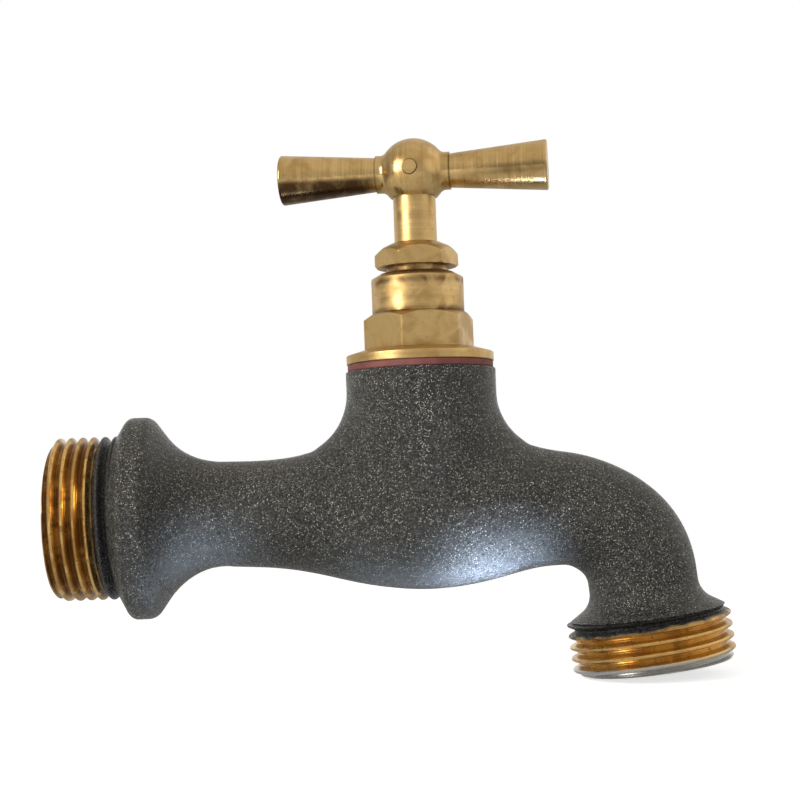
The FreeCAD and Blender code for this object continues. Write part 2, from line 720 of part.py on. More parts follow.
def valve_screw():
    """Slotted screw that holds the valve washer."""
    head_z = SEAT_Z - VALVE_SCREW_HEAD_H
    shape = cylinder(VALVE_SCREW_HEAD_R, head_z, SEAT_Z)
    shape = shape.fuse(cylinder(VALVE_SCREW_R, head_z, valve_screw_top()))
    half_length = VALVE_SCREW_HEAD_R + OVERRUN
    corner = head(head_z) - V(half_length, VALVE_SLOT_W / 2, 0)
    slot = Part.makeBox(2 * half_length, VALVE_SLOT_W, VALVE_SLOT_W, corner)
    return shape.cut(slot)


def valve_ring():
    """Split spring ring that keeps the valve's stem in the spindle."""
    low = STEM_TOP_Z - RING_DROP + STATIC_FIT
    high = STEM_TOP_Z - RING_DROP + RING_H - STATIC_FIT
    outer_r = VALVE_STEM_R + RING_DEPTH
    shape = tube(outer_r, VALVE_STEM_R - RING_DEPTH + STATIC_FIT, low, high)
    corner = head(low - OVERRUN) - V(0, RING_SPLIT / 2, 0)
    split = Part.makeBox(outer_r + OVERRUN, RING_SPLIT, 2 * OVERRUN + RING_H, corner)
    return shape.cut(split)


def gland_washer():
    """Brass ring under the packing."""
    return tube(PACKING_CHAMBER_R, SPINDLE_R + RUNNING_FIT, PACKING_FLOOR_Z, PACKING_Z)


def packing_ring(index):
    """One ring of the spindle packing, counted from the bottom."""
    low = PACKING_Z + PACKING_RING_H * index
    return tube(PACKING_CHAMBER_R, SPINDLE_R + RUNNING_FIT, low, low + PACKING_RING_H)


def gland_nut():
    """Hexagonal nut whose tail presses on the packing."""
    corner_r = GLAND_NUT_AF / math.sqrt(3)
    bar = hexagon(GLAND_NUT_AF, NUT_BASE_Z, NUT_TOP_Z, GLAND_NUT_TURN)
    shoulder_z = NUT_TOP_Z - GLAND_NUT_DOME_H
    rise = GLAND_NUT_DOME_H * GLAND_NUT_DOME_BULGE
    mid_r = GLAND_NUT_DOME_R + (corner_r - GLAND_NUT_DOME_R) * GLAND_NUT_DOME_BULGE
    low_corner = head(NUT_BASE_Z) + ALONG * corner_r
    shoulder = head(shoulder_z) + ALONG * corner_r
    bulge = head(shoulder_z + rise) + ALONG * mid_r
    rim = head(NUT_TOP_Z) + ALONG * GLAND_NUT_DOME_R
    outline = [
        Part.makeLine(head(NUT_BASE_Z), low_corner),
        Part.makeLine(low_corner, shoulder),
        Part.Arc(shoulder, bulge, rim).toShape(),
        Part.makeLine(rim, head(NUT_TOP_Z)),
        Part.makeLine(head(NUT_TOP_Z), head(NUT_BASE_Z)),
    ]
    envelope = Part.Face(Part.Wire(outline)).revolve(head(0), UP, 360)
    tail = cylinder(PACKING_CHAMBER_R, PACKING_TOP_Z, NUT_BASE_Z + OVERLAP)
    shape = bar.common(envelope).fuse(tail)
    bore = cylinder(SPINDLE_R + RUNNING_FIT, PACKING_TOP_Z - OVERRUN, NUT_TOP_Z + OVERRUN)
    return shape.cut(bore)


def handle_direction():
    """Direction of the arm on the spout side."""
    yaw = math.radians(HANDLE_YAW)
    return V(math.cos(yaw), math.sin(yaw), 0)


def pin_bar(radius, half_length):
    """Round bar across the handle's ball, square to its arms."""
    arm = handle_direction()
    across = V(-arm.y, arm.x, 0)
    start = head(HANDLE_Z) - across * half_length
    return Part.makeCylinder(radius, 2 * half_length, start, across)


def boss_seams(shape):
    """Edges where the ball meets the barrel of its two bosses."""
    seam_reach = math.sqrt(BALL_R ** 2 - BOSS_R ** 2)
    seams = []
    for edge in shape.Edges:
        middle = edge.valueAt((edge.FirstParameter + edge.LastParameter) / 2) - head(HANDLE_Z)
        reach = abs(middle.dot(handle_direction()))
        if abs(middle.Length - BALL_R) < SAME_PLACE and abs(reach - seam_reach) < SAME_PLACE:
            seams.append(edge)
    return seams


def handle_hub():
    """Ball of the T handle with a boss for each arm."""
    ball = Part.makeSphere(BALL_R, head(HANDLE_Z))
    arm = handle_direction()
    barrel = Part.makeCylinder(BOSS_R, 2 * BOSS_END, head(HANDLE_Z) - arm * BOSS_END, arm)
    shape = ball.fuse(barrel)
    shape = shape.makeFillet(BOSS_FILLET, boss_seams(shape))
    shape = shape.cut(cylinder(2 * BALL_R, HUB_BASE_Z - BALL_R, HUB_BASE_Z))
    spigot_top = HUB_BASE_Z + SPIGOT_H + SPIGOT_ROOM
    shape = shape.cut(cylinder(SPIGOT_R + STATIC_FIT, HUB_BASE_Z - OVERRUN, spigot_top))
    shape = shape.cut(pin_bar(PIN_R + STATIC_FIT, 2 * BALL_R))
    depth = ARM_STUD_LENGTH + STATIC_FIT + OVERRUN
    for side in (-1, 1):
        start = head(HANDLE_Z) + arm * (side * (BOSS_END + OVERRUN))
        shape = shape.cut(Part.makeCylinder(ARM_STUD_R + STATIC_FIT, depth, start, arm * -side))
    return shape


def handle_arm(side):
    """Conical arm of the T handle with its stud, on the wall side or the spout side."""
    cone = Part.makeCone(ARM_ROOT_R, ARM_END_R, ARM_LENGTH, V(0, 0, BOSS_END))
    end = BOSS_END + ARM_LENGTH
    rims = [edge for edge in cone.Edges if edge.BoundBox.ZMin > end - SAME_PLACE]
    cone = cone.makeFillet(ARM_EDGE_ROUND, rims)
    stud_start = V(0, 0, BOSS_END - ARM_STUD_LENGTH)
    stud = Part.makeCylinder(ARM_STUD_R, ARM_STUD_LENGTH + OVERLAP, stud_start)
    return place_along(cone.fuse(stud), head(HANDLE_Z), handle_direction() * side)


def handle_pin():
    """Cross pin that fixes the ball to the spindle."""
    return pin_bar(PIN_R, BALL_R + PIN_PROUD)


def export(name, shape):
    """Writes one node and reports its size."""
    shape.exportStep("parts/" + name + ".step")
    box = shape.BoundBox
    print(name, shape.ShapeType, len(shape.Solids), shape.isValid(), round(shape.Volume, 1),
          [round(v, 2) for v in (box.XMin, box.XMax, box.YMin, box.YMax, box.ZMin, box.ZMax)])


def main():
    os.makedirs("parts", exist_ok=True)
    export("tap_body", tap_body())
    export("bonnet_washer", bonnet_washer())
    export("bonnet", bonnet())
    export("gland_washer", gland_washer())
    for index in range(PACKING_RINGS):
        export("packing_ring_%d" % (index + 1), packing_ring(index))
    export("gland_nut", gland_nut())
    export("spindle", spindle())
    export("valve_carrier", valve_carrier())
    export("valve_washer", valve_washer())
    export("valve_screw", valve_screw())
    export("valve_ring", valve_ring())
    export("handle_hub", handle_hub())
    export("handle_arm_wall", handle_arm(-1))
    export("handle_arm_spout", handle_arm(1))
    export("handle_pin", handle_pin())


main()
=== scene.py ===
import math

import bmesh
import bpy
import numpy as np
from mathutils import Matrix, Vector, kdtree, noise


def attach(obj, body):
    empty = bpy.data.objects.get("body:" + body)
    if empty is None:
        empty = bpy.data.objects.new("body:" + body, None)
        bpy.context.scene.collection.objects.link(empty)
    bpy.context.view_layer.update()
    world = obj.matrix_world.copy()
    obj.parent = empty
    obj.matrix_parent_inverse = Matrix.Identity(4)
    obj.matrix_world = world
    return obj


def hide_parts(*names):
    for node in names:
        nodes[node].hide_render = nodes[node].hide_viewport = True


# Looks of a garden tap: painted casting, brass threads and headwork, T handle.
# Sizes in the dictionaries are millimetres and degrees. Lengths in a look, which the
# shader nodes read, are metres, and so is every finished mesh.

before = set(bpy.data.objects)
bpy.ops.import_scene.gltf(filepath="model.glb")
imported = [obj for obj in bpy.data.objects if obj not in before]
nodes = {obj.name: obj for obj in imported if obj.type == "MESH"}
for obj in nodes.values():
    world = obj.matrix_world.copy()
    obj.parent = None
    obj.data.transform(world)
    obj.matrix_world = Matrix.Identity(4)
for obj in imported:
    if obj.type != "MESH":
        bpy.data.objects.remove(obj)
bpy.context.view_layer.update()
mm = 0.001


def inMetres(values):
    return tuple(value * mm for value in values)


# Mesh helpers

def makePiece(name, points, faces):
    mesh = bpy.data.meshes.new(name)
    mesh.from_pydata([tuple(p) for p in np.asarray(points) * mm], [], faces)
    piece = bpy.data.objects.new(name, mesh)
    bpy.context.scene.collection.objects.link(piece)
    return piece


def tidyMesh(piece, sharpAngle=38):
    # joins doubles, turns the faces outwards and shades all but the sharp edges smooth
    gap = 0.002 * mm
    work = bmesh.new()
    work.from_mesh(piece.data)
    bmesh.ops.remove_doubles(work, verts=work.verts, dist=gap)
    bmesh.ops.dissolve_degenerate(work, edges=work.edges, dist=gap / 2)
    bmesh.ops.recalc_face_normals(work, faces=work.faces)
    work.to_mesh(piece.data)
    work.free()
    piece.data.shade_smooth()
    piece.data.set_sharp_from_angle(angle=math.radians(sharpAngle))
    return piece


def readPoints(mesh, kind="co"):
    values = np.empty(len(mesh.vertices) * 3)
    mesh.vertices.foreach_get(kind, values)
    return values.reshape(-1, 3)


def writePoints(mesh, places):
    mesh.vertices.foreach_set("co", places.ravel())
    mesh.update()


def writeShare(mesh, label, values):
    # a number from 0 to 1 at each point, for a material to read
    share = mesh.attributes.new(label, "FLOAT", "POINT")
    share.data.foreach_set("value", values.astype(np.float32))


def roundedLine(corners, steps, support):
    # corners are (a, b, radius), and each rounded one becomes an arc with a support point at both sides
    line = []
    for i, (a, b, radius) in enumerate(corners):
        here = np.array((a, b), float)
        if radius <= 0 or i in (0, len(corners) - 1):
            line.append(here)
            continue
        before = np.array(corners[i - 1][:2], float) - here
        after = np.array(corners[i + 1][:2], float) - here
        before /= np.linalg.norm(before)
        after /= np.linalg.norm(after)
        half = math.acos(max(-1, min(1, float(before @ after)))) / 2
        reach = radius / math.tan(half)
        middle = here + (before + after) / np.linalg.norm(before + after) * radius / math.sin(half)
        start = here + before * reach
        end = here + after * reach
        startAngle = math.atan2(*(start - middle)[::-1])
        sweep = math.atan2(*(end - middle)[::-1]) - startAngle
        sweep = (sweep + math.pi) % (2 * math.pi) - math.pi
        line.append(start + before * support)
        for step in range(steps + 1):
            angle = startAngle + sweep * step / steps
            line.append(middle + radius * np.array((math.cos(angle), math.sin(angle))))
        line.append(end + after * support)
    return np.array(line)


def evenLine(line, longest):
    # adds points so that no stretch is longer than a given length
    out = [line[0]]
    for p, q in zip(line[:-1], line[1:]):
        pieces = max(1, math.ceil(np.linalg.norm(q - p) / longest))
        for step in range(1, pieces + 1):
            out.append(p + (q - p) * step / pieces)
    return np.array(out)


def ringFaces(rings, columns, closed=False):
    faces = []
    for i in range(rings if closed else rings - 1):
        a = i * columns
        b = ((i + 1) % rings) * columns
        for j in range(columns):
            k = (j + 1) % columns
            faces.append((a + j, a + k, b + k, b + j))
    return faces


def turnedPiece(name, line, centreX, columns, closed=False):
    # line is rows of (height, radius), turned about an upright axis
    angles = 2 * math.pi * np.arange(columns) / columns
    spokes = -np.stack((np.cos(angles), np.sin(angles), np.zeros(columns)), 1)
    points = [np.array((centreX, 0, z)) + spokes * r for z, r in line]
    piece = makePiece(name, np.concatenate(points), ringFaces(len(line), columns, closed))
    return tidyMesh(piece)


def smoothRow(values, spread):
    # evens out a row of numbers, keeping its ends
    reach = int(spread * 3)
    kernel = np.exp(-0.5 * (np.arange(-reach, reach + 1) / spread) ** 2)
    before = 2 * values[0] - values[reach:0:-1]
    after = 2 * values[-1] - values[-2:-reach - 2:-1]
    return np.convolve(np.concatenate((before, values, after)), kernel / kernel.sum(), "valid")


def appliedMesh(piece):
    # the piece's mesh with its modifier applied, as a plain mesh
    bpy.context.view_layer.update()
    return bpy.data.meshes.new_from_object(piece.evaluated_get(bpy.context.evaluated_depsgraph_get()))


def applyBoolean(piece, cutter, operation):
    change = piece.modifiers.new("change", "BOOLEAN")
    change.operation = operation
    change.solver = "MANIFOLD"
    change.object = cutter
    made = appliedMesh(piece)
    piece.modifiers.remove(change)
    piece.data = made
    bpy.data.objects.remove(cutter)


def finishPiece(piece, material, replaced):
    # every piece made here is part of the fixed tap
    piece.data.materials.clear()
    piece.data.materials.append(material)
    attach(piece, "tap")
    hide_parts(replaced)
    print("piece", piece.name, len(piece.data.vertices), "points", len(piece.data.polygons), "faces")


# Node helpers. Those without a tree among their values find it from a socket that they are given.

def treeOf(*values):
    return next(value.id_data for value in values if isinstance(value, bpy.types.NodeSocket))


def feed(sockets, values):
    # links sockets or sets plain values
    for label, value in values.items():
        if isinstance(value, bpy.types.NodeSocket):
            value.id_data.links.new(value, sockets[label])
        else:
            sockets[label].default_value = value


def addNode(tree, kind, inputs=None, **values):
    # values are the node's own settings
    node = tree.nodes.new(kind)
    for key, value in values.items():
        setattr(node, key, value)
    feed(node.inputs, inputs or {})
    return node


def calc(operation, a, b=0.0):
    return addNode(treeOf(a, b), "ShaderNodeMath", {0: a, 1: b}, operation=operation).outputs[0]


def plus(a, b):
    return calc("ADD", a, b)


def less(a, b):
    return calc("SUBTRACT", a, b)


def times(a, b):
    return calc("MULTIPLY", a, b)


def over(a, b):
    return calc("DIVIDE", a, b)


def mixValue(share, a, b):
    # a where share is 0 and b where it is 1
    return plus(times(a, less(1.0, share)), times(b, share))


def sideLength(a, b):
    # length of the slanting side over two square ones
    return calc("SQRT", plus(times(a, a), times(b, b)))


def mapRange(value, fromLow, fromHigh, toLow=0.0, toHigh=1.0, curve="LINEAR"):
    limits = {"From Min": fromLow, "From Max": fromHigh, "To Min": toLow, "To Max": toHigh}
    node = addNode(treeOf(value), "ShaderNodeMapRange", dict(limits, Value=value),
                   interpolation_type=curve, clamp=True)
    return node.outputs["Result"]


def softRange(value, *limits):
    return mapRange(value, *limits, curve="SMOOTHSTEP")


def mixColour(share, a, b):
    tree = treeOf(share, a, b)
    return addNode(tree, "ShaderNodeMix", {0: share, 6: a, 7: b}, data_type="RGBA").outputs[2]


def vectorNode(operation, a, b=None):
    inputs = {0: a} if b is None else {0: a, 1: b}
    node = addNode(treeOf(a), "ShaderNodeVectorMath", inputs, operation=operation)
    return node.outputs["Vector" if operation == "SUBTRACT" else "Value"]


def splitNode(kind, value):
    return tuple(addNode(treeOf(value), "ShaderNodeSeparate" + kind, {0: value}).outputs)


def noiseNode(place, scale, detail, dimensions="3D", **more):
    inputs = {"W" if dimensions == "1D" else "Vector": place, "Scale": scale, "Detail": detail, **more}
    return addNode(treeOf(place), "ShaderNodeTexNoise", inputs, noise_dimensions=dimensions).outputs[0]


def pointShare(place, label):
    # a number from 0 to 1 that the mesh holds at each point
    return addNode(treeOf(place), "ShaderNodeAttribute", attribute_name=label).outputs["Fac"]


def bumpNode(height, distance):
    inputs = {"Strength": 1.0, "Distance": distance, "Height": height}
    return addNode(treeOf(height), "ShaderNodeBump", inputs).outputs["Normal"]


def newGroup(name, sizes, results):
    # a shader group that takes a place and some numbers, and gives numbers
    group = bpy.data.node_groups.new(name, "ShaderNodeTree")
    group.interface.new_socket("Place", in_out="INPUT", socket_type="NodeSocketVector")
    for label, start in sizes.items():
        socket = group.interface.new_socket(label, in_out="INPUT", socket_type="NodeSocketFloat")
        socket.default_value = start
    for label in results:
        group.interface.new_socket(label, in_out="OUTPUT", socket_type="NodeSocketFloat")
    return group, addNode(group, "NodeGroupInput").outputs, addNode(group, "NodeGroupOutput").inputs


def useGroup(group, **values):
    # an underscore stands for the space in an input's name
    inputs = {label.replace("_", " "): value for label, value in values.items()}
    return addNode(treeOf(values["Place"]), "ShaderNodeGroup", inputs, node_tree=group).outputs


def newMaterial(name):
    # a material, the inputs of its shader, and the place on the object
    material = bpy.data.materials.new(name)
    material.use_nodes = True
    tree = material.node_tree
    tree.nodes.clear()
    shader = addNode(tree, "ShaderNodeBsdfPrincipled")
    addNode(tree, "ShaderNodeOutputMaterial", {0: shader.outputs[0]})
    return material, shader.inputs, addNode(tree, "ShaderNodeTexCoord").outputs["Object"]


# Shared effects

def paintGrainGroup():
    # granular paint: raised grains of two sizes, metal flakes of varied brightness, and soft cloudiness
    group, give, take = newGroup(
        "paintGrain",
        {"Grain Size": 0.0003, "Flake Size": 0.00022, "Flake Share": 0.1, "Cloud Size": 0.008},
        ["Height", "Flake", "Cloud", "Speck", "Dust"])
    place = give["Place"]
    fineScale = over(1.0, give["Grain Size"])
    fine = noiseNode(place, fineScale, 3.0, Roughness=0.65)
    peel = noiseNode(place, times(fineScale, 0.42), 1.0)  # grains over twice as large
    cloud = noiseNode(place, over(1.0, give["Cloud Size"]), 3.0)
    flakeScale = over(1.0, give["Flake Size"])
    cells = addNode(group, "ShaderNodeTexVoronoi", {"Vector": place, "Scale": flakeScale},
                    voronoi_dimensions="3D", feature="F1").outputs
    chance, strength, speck = splitNode("Color", cells["Color"])
    chosen = calc("GREATER_THAN", chance, less(1.0, give["Flake Share"]))
    inside = mapRange(cells["Distance"], 0.15, 0.45, 1.0, 0.0)  # a flake fades to its rim
    flake = times(times(chosen, inside), calc("POWER", strength, 2.0))
    height = plus(times(fine, 0.85), times(peel, 0.6))
    feed(take, {"Height": plus(height, times(flake, 0.2)), "Flake": flake, "Speck": speck,
                "Cloud": mapRange(cloud, 0.3, 0.7), "Dust": mapRange(fine, 0.47, 0.62)})
    return group


def turningMarksGroup():
    # fine rings left by the lathe round the Z direction of the given place
    group, give, take = newGroup("turningMarks", {"Ring Spacing": 0.00025}, ["Height", "Streak"])
    spacing = give["Ring Spacing"]
    x, y, z = splitNode("XYZ", give["Place"])
    along = plus(z, times(sideLength(x, y), 0.8))  # so that end faces have rings too
    fine = noiseNode(over(along, spacing), 1.0, 2.0, "1D")
    broad = noiseNode(over(along, times(spacing, 5.0)), 1.0, 1.0, "1D")
    feed(take, {"Height": fine, "Streak": mapRange(times(plus(fine, broad), 0.5), 0.35, 0.65)})
    return group


def tarnishGroup():
    # uneven darkening of brass: broad stains, small spots and a dull film
    group, give, take = newGroup(
        "tarnish",
        {"Stain Size": 0.006, "Spot Size": 0.0007, "Stain Amount": 0.5, "Spot Amount": 0.3},
        ["Stain", "Spot", "Cloud"])
    stain = noiseNode(give["Place"], over(1.0, give["Stain Size"]), 4.0, Distortion=0.6)
    spot = noiseNode(give["Place"], over(1.0, give["Spot Size"]), 2.0)
    feed(take, {"Stain": times(mapRange(stain, 0.42, 0.64), give["Stain Amount"]),
                "Spot": times(mapRange(spot, 0.62, 0.72), give["Spot Amount"]),
                "Cloud": mapRange(stain, 0.30, 0.70)})
    return group


paintGrain = paintGrainGroup()
turningMarks = turningMarksGroup()
tarnish = tarnishGroup()
print("shared effects ready")


# Paint

paintLook = {
    "dark": (0.001, 0.001, 0.001, 1),
    "light": (0.082, 0.0775, 0.068, 1),
    "flake": (0.95, 0.95, 0.86, 1),
    "flakeRough": 0.30,
    "flakeMetal": 0.88,
    "grainSize": 0.00030,
    "flakeSize": 0.00023,
    "flakeShare": 0.56,
    "cloudSize": 0.009,
    "cloudShare": 0.12,  # the rest of the tone is fine dust
    "grainDepth": 0.00036,
    "roughness": (0.16, 0.46),
    "gloss": 0.38,
    "bareCast": (0.36, 0.24, 0.11, 1),
    "bareRough": 0.48,
}


def paintNodes(place):
    # colour, roughness, metal and grain height of the granular paint
    look = paintLook
    grain = useGroup(paintGrain, Place=place, Grain_Size=look["grainSize"], Flake_Size=look["flakeSize"],
                     Flake_Share=look["flakeShare"], Cloud_Size=look["cloudSize"])
    flake, cloudShare = grain["Flake"], look["cloudShare"]
    tone = plus(times(grain["Cloud"], cloudShare), times(grain["Dust"], 1.0 - cloudShare))
    colour = mixColour(flake, mixColour(tone, look["dark"], look["light"]), look["flake"])
    rough = mixValue(flake, mapRange(grain["Speck"], 0.0, 1.0, *look["roughness"]), look["flakeRough"])
    return colour, rough, times(flake, look["flakeMetal"]), grain["Height"]


def castPaint():
    # the paint, and bare metal in the bores that were cut after painting
    material, shader, place = newMaterial("castPaint")
    colour, rough, metal, height = paintNodes(place)
    skin = pointShare(place, "paintedSkin")
    bare = less(1.0, skin)
    feed(shader, {"Base Color": mixColour(bare, colour, paintLook["bareCast"]),
                  "Roughness": mixValue(skin, paintLook["bareRough"], rough),
                  "Metallic": calc("MAXIMUM", metal, bare),
                  "Specular IOR Level": paintLook["gloss"],
                  "Normal": bumpNode(height, paintLook["grainDepth"])})
    return material


# Brass

brassLook = {
    "bright": (0.66, 0.46, 0.20, 1),
    "deep": (0.42, 0.26, 0.095, 1),
    "stain": (0.16, 0.085, 0.035, 1),
    # colour of the painted dark reflection on the handle's arms
    "paintedReflection": (0.075, 0.040, 0.018, 1),
    "roughness": (0.30, 0.42),
    "stainRough": 0.12,  # added where the brass is stained
    "ringSpacing": 0.0003,
    "ringDepth": 0.000006,
    "ringShare": 0.5,
    "flatTone": 0.6,  # tone of the flat faces, which have no rings
    "stainAmount": 0.75,
    "spotAmount": 0.22,
    "stainSize": 0.0034,
}
innerLook = dict(brassLook, stainAmount=0.3)
handleLook = dict(brassLook, roughness=(0.17, 0.28), ringSpacing=0.0004)

# Lengths run along the arms from the spindle towards the wall, and up from the arms' axis.
handleMarks = {
    "seamAt": 6.1, "seamWidth": (0.08, 0.20), "seamDark": 0.6,
    "pinR": 1.2, "pinLine": (0.06, 0.2), "pinDark": 0.8, "pinFrom": 4.0,
    # underside and band place the painted dark reflection
    "underside": (-0.4, -1.4), "undersideAlong": (5.0, 7.5),
    "bandUnder": 0.9, "bandWidth": (0.3, 1.2), "bandDark": 0.62, "bandAlong": (-8.0, -15.0),
}


def handleSeamsAndReflection(place, cloud):
    # dark seams beside the bosses and round the pin, and a painted dark reflection: on the underside
    # of the arm at the wall, and in a band low on the other arm
    marks = handleMarks
    up, aside, along = splitNode("XYZ", place)

    def lineAt(value, middle, width, dark):
        away = calc("ABSOLUTE", less(value, middle * mm))
        return softRange(away, *inMetres(width), dark, 0.0)

    seam = lineAt(calc("ABSOLUTE", along), marks["seamAt"], marks["seamWidth"], marks["seamDark"])
    pin = lineAt(sideLength(up, along), marks["pinR"], marks["pinLine"], marks["pinDark"])
    onBall = calc("GREATER_THAN", calc("ABSOLUTE", aside), marks["pinFrom"] * mm)
    # painted dark reflection: the underside of the wall arm and a low band on the other arm are darkened
    under = times(softRange(up, *inMetres(marks["underside"])),
                  mapRange(along, *inMetres(marks["undersideAlong"])))
    band = times(lineAt(up, -marks["bandUnder"], marks["bandWidth"], marks["bandDark"]),
                 softRange(along, *inMetres(marks["bandAlong"])))
    paintedReflection = times(calc("MAXIMUM", under, band), mapRange(cloud, 0.1, 0.6, 0.7, 1.0))
    return calc("MAXIMUM", seam, times(pin, onBall)), paintedReflection


def turnedBrass(name, look, centre, turn=(0, 0, 0), headwork=False, handlePart=False):
    # satin brass with lathe rings round the Z direction, after the place is moved to centre and turned
    material, shader, place = newMaterial(name)
    moved = vectorNode("SUBTRACT", place, inMetres(centre))
    angles = tuple(math.radians(angle) for angle in turn)
    turned = addNode(treeOf(place), "ShaderNodeVectorRotate", {"Vector": moved, "Rotation": angles},
                     rotation_type="EULER_XYZ", invert=True).outputs[0]
    rings = useGroup(turningMarks, Place=turned, Ring_Spacing=look["ringSpacing"])
    dirt = useGroup(tarnish, Place=place, Stain_Size=look["stainSize"],
                    Stain_Amount=look["stainAmount"], Spot_Amount=look["spotAmount"])
    streak, height = rings["Streak"], rings["Height"]
    darkCornersAndSeams = paintedReflection = None
    if headwork:
        # flat faces have no rings, and the inner corners are darker
        plain = pointShare(place, "plainFace")
        streak = mixValue(plain, streak, look["flatTone"])
        height = times(height, less(1.0, plain))
        # darker close to the inner corners, with a cloudy spread
        darkCornersAndSeams = times(pointShare(place, "innerCorner"), mapRange(dirt["Cloud"], 0.2, 0.7, 0.25, 1.0))
    if handlePart:
        darkCornersAndSeams, paintedReflection = handleSeamsAndReflection(turned, dirt["Cloud"])
    light = plus(times(streak, look["ringShare"]), 1.0 - look["ringShare"])
    colour = mixColour(light, look["deep"], look["bright"])
    # the last layer is the painted dark reflection on the handle
    layers = ((dirt["Stain"], "deep"), (dirt["Spot"], "stain"), (darkCornersAndSeams, "stain"), (paintedReflection, "paintedReflection"))
    for share, tone in layers:
        if share:
            colour = mixColour(share, colour, look[tone])
    rough = plus(mapRange(streak, 0, 1, *look["roughness"]), times(dirt["Stain"], look["stainRough"]))
    feed(shader, {"Base Color": colour, "Roughness": rough, "Metallic": 1.0,
                  "Normal": bumpNode(height, look["ringDepth"])})
    return material


threadLook = {
    "bright": (0.70, 0.45, 0.165, 1),
    "deep": (0.44, 0.25, 0.08, 1),
    "root": (0.17, 0.095, 0.038, 1),
    "stain": (0.14, 0.07, 0.03, 1),
    "paint": (0.004, 0.004, 0.004, 1),
    "silver": (0.50, 0.49, 0.47, 1),
    "darkPaintAndShade": 0.75,  # share of this look's own near-black colour in the paint, which darkens it: partly a thinner, blacker coat and partly painted shade on the turns
    "roughness": (0.20, 0.34),
    "stainSize": 0.004,
    "spotAmount": 0.6,
    "wanderScale": 260.0,  # how fine the unevenness of the paint's edge is
    "wander": 0.0016,
    "mouth": (0.0102, 0.0108),  # radii between which the end face changes to the outside
    "grooves": (0.01305, 0.0122),  # radii between which the grooves darken
}


def threadBrass(name, sizes):
    # bare brass that changes to paint near the casting and to dull metal near the free end
    look = threadLook
    material, shader, place = newMaterial(name)
    moved = vectorNode("SUBTRACT", place, inMetres(sizes["end"]))
    depth = vectorNode("DOT_PRODUCT", moved, sizes["axis"])
    reach = vectorNode("LENGTH", moved)
    acrossSquared = less(times(reach, reach), times(depth, depth))
    radius = calc("SQRT", calc("MAXIMUM", acrossSquared, 0.0))
    outside = mapRange(radius, *look["mouth"])
    roam = times(less(noiseNode(place, look["wanderScale"], 4.0), 0.5), look["wander"])
    paintDepth = plus(vectorNode("DOT_PRODUCT", moved, sizes["paintAxis"]), roam)
    paint = times(mapRange(paintDepth, *inMetres(sizes["paint"])), outside)
    dirt = useGroup(tarnish, Place=place, Stain_Size=look["stainSize"],
                    Stain_Amount=sizes["stain"], Spot_Amount=look["spotAmount"])
    # the grooves are darker than the crests
    root = times(softRange(radius, *look["grooves"], 0.0, sizes["grooveDark"]), outside)
    root = times(root, mapRange(dirt["Cloud"], 0.2, 0.8, 0.7, 1.0))
    brass = mixColour(dirt["Stain"], look["bright"], look["deep"])
    brass = mixColour(dirt["Spot"], brass, look["stain"])
    brass = mixColour(root, brass, look["root"])
    if sizes["silver"]:
        dull = mapRange(plus(depth, roam), *inMetres(sizes["silver"]), 1.0, 0.0)
        brass = mixColour(dull, brass, look["silver"])
    colour, rough, metal, height = paintNodes(place)
    # the paint on the thread is darkened, partly for its thinner black coat and partly as painted shade
    colour = mixColour(look["darkPaintAndShade"], colour, look["paint"])
    brassRough = mapRange(dirt["Stain"], 0, 1, *look["roughness"])
    feed(shader, {"Base Color": mixColour(paint, brass, colour),
                  "Roughness": mixValue(paint, brassRough, rough),
                  "Metallic": calc("MAXIMUM", less(1.0, paint), metal),
                  "Normal": bumpNode(times(height, paint), paintLook["grainDepth"])})
    return material


# Fibre, packing, rubber and spring steel: two tones, roughness, grain size, grain depth and metal

plainLooks = {
    "redFibre": ((0.13, 0.035, 0.03, 1), (0.20, 0.065, 0.055, 1), 0.6, 0.0003, 0.00003, 0.0),
    "waxedPacking": ((0.62, 0.60, 0.55, 1), (0.78, 0.77, 0.72, 1), 0.5, 0.0005, 0.00005, 0.0),
    "blackRubber": ((0.02, 0.02, 0.02, 1), (0.035, 0.035, 0.035, 1), 0.55, 0.0004, 0.00002, 0.0),
    "springSteel": ((0.45, 0.45, 0.46, 1), (0.60, 0.60, 0.61, 1), 0.28, 0.0004, 0.000004, 1.0),
}


def plainGrain(name):
    # a fine mottled grain without flakes, its clouds eight grains wide
    toneA, toneB, roughness, size, depth, metal = plainLooks[name]
    material, shader, place = newMaterial(name)
    grain = useGroup(paintGrain, Place=place, Grain_Size=size, Flake_Share=0.0, Cloud_Size=size * 8)
    feed(shader, {"Base Color": mixColour(grain["Cloud"], toneA, toneB),
                  "Roughness": mapRange(grain["Speck"], 0, 1, roughness, roughness + 0.12),
                  "Metallic": metal, "Normal": bumpNode(grain["Height"], depth)})
    return material


headX = 49.35  # the headwork's upright axis
castFinish = castPaint()
headFinish = turnedBrass("headBrass", brassLook, (headX, 0, 0), headwork=True)
innerFinish = turnedBrass("innerBrass", innerLook, (headX, 0, 0))
fibreFinish = plainGrain("redFibre")
packingFinish = plainGrain("waxedPacking")
rubberFinish = plainGrain("blackRubber")
steelFinish = plainGrain("springSteel")
print("materials ready")


# Casting

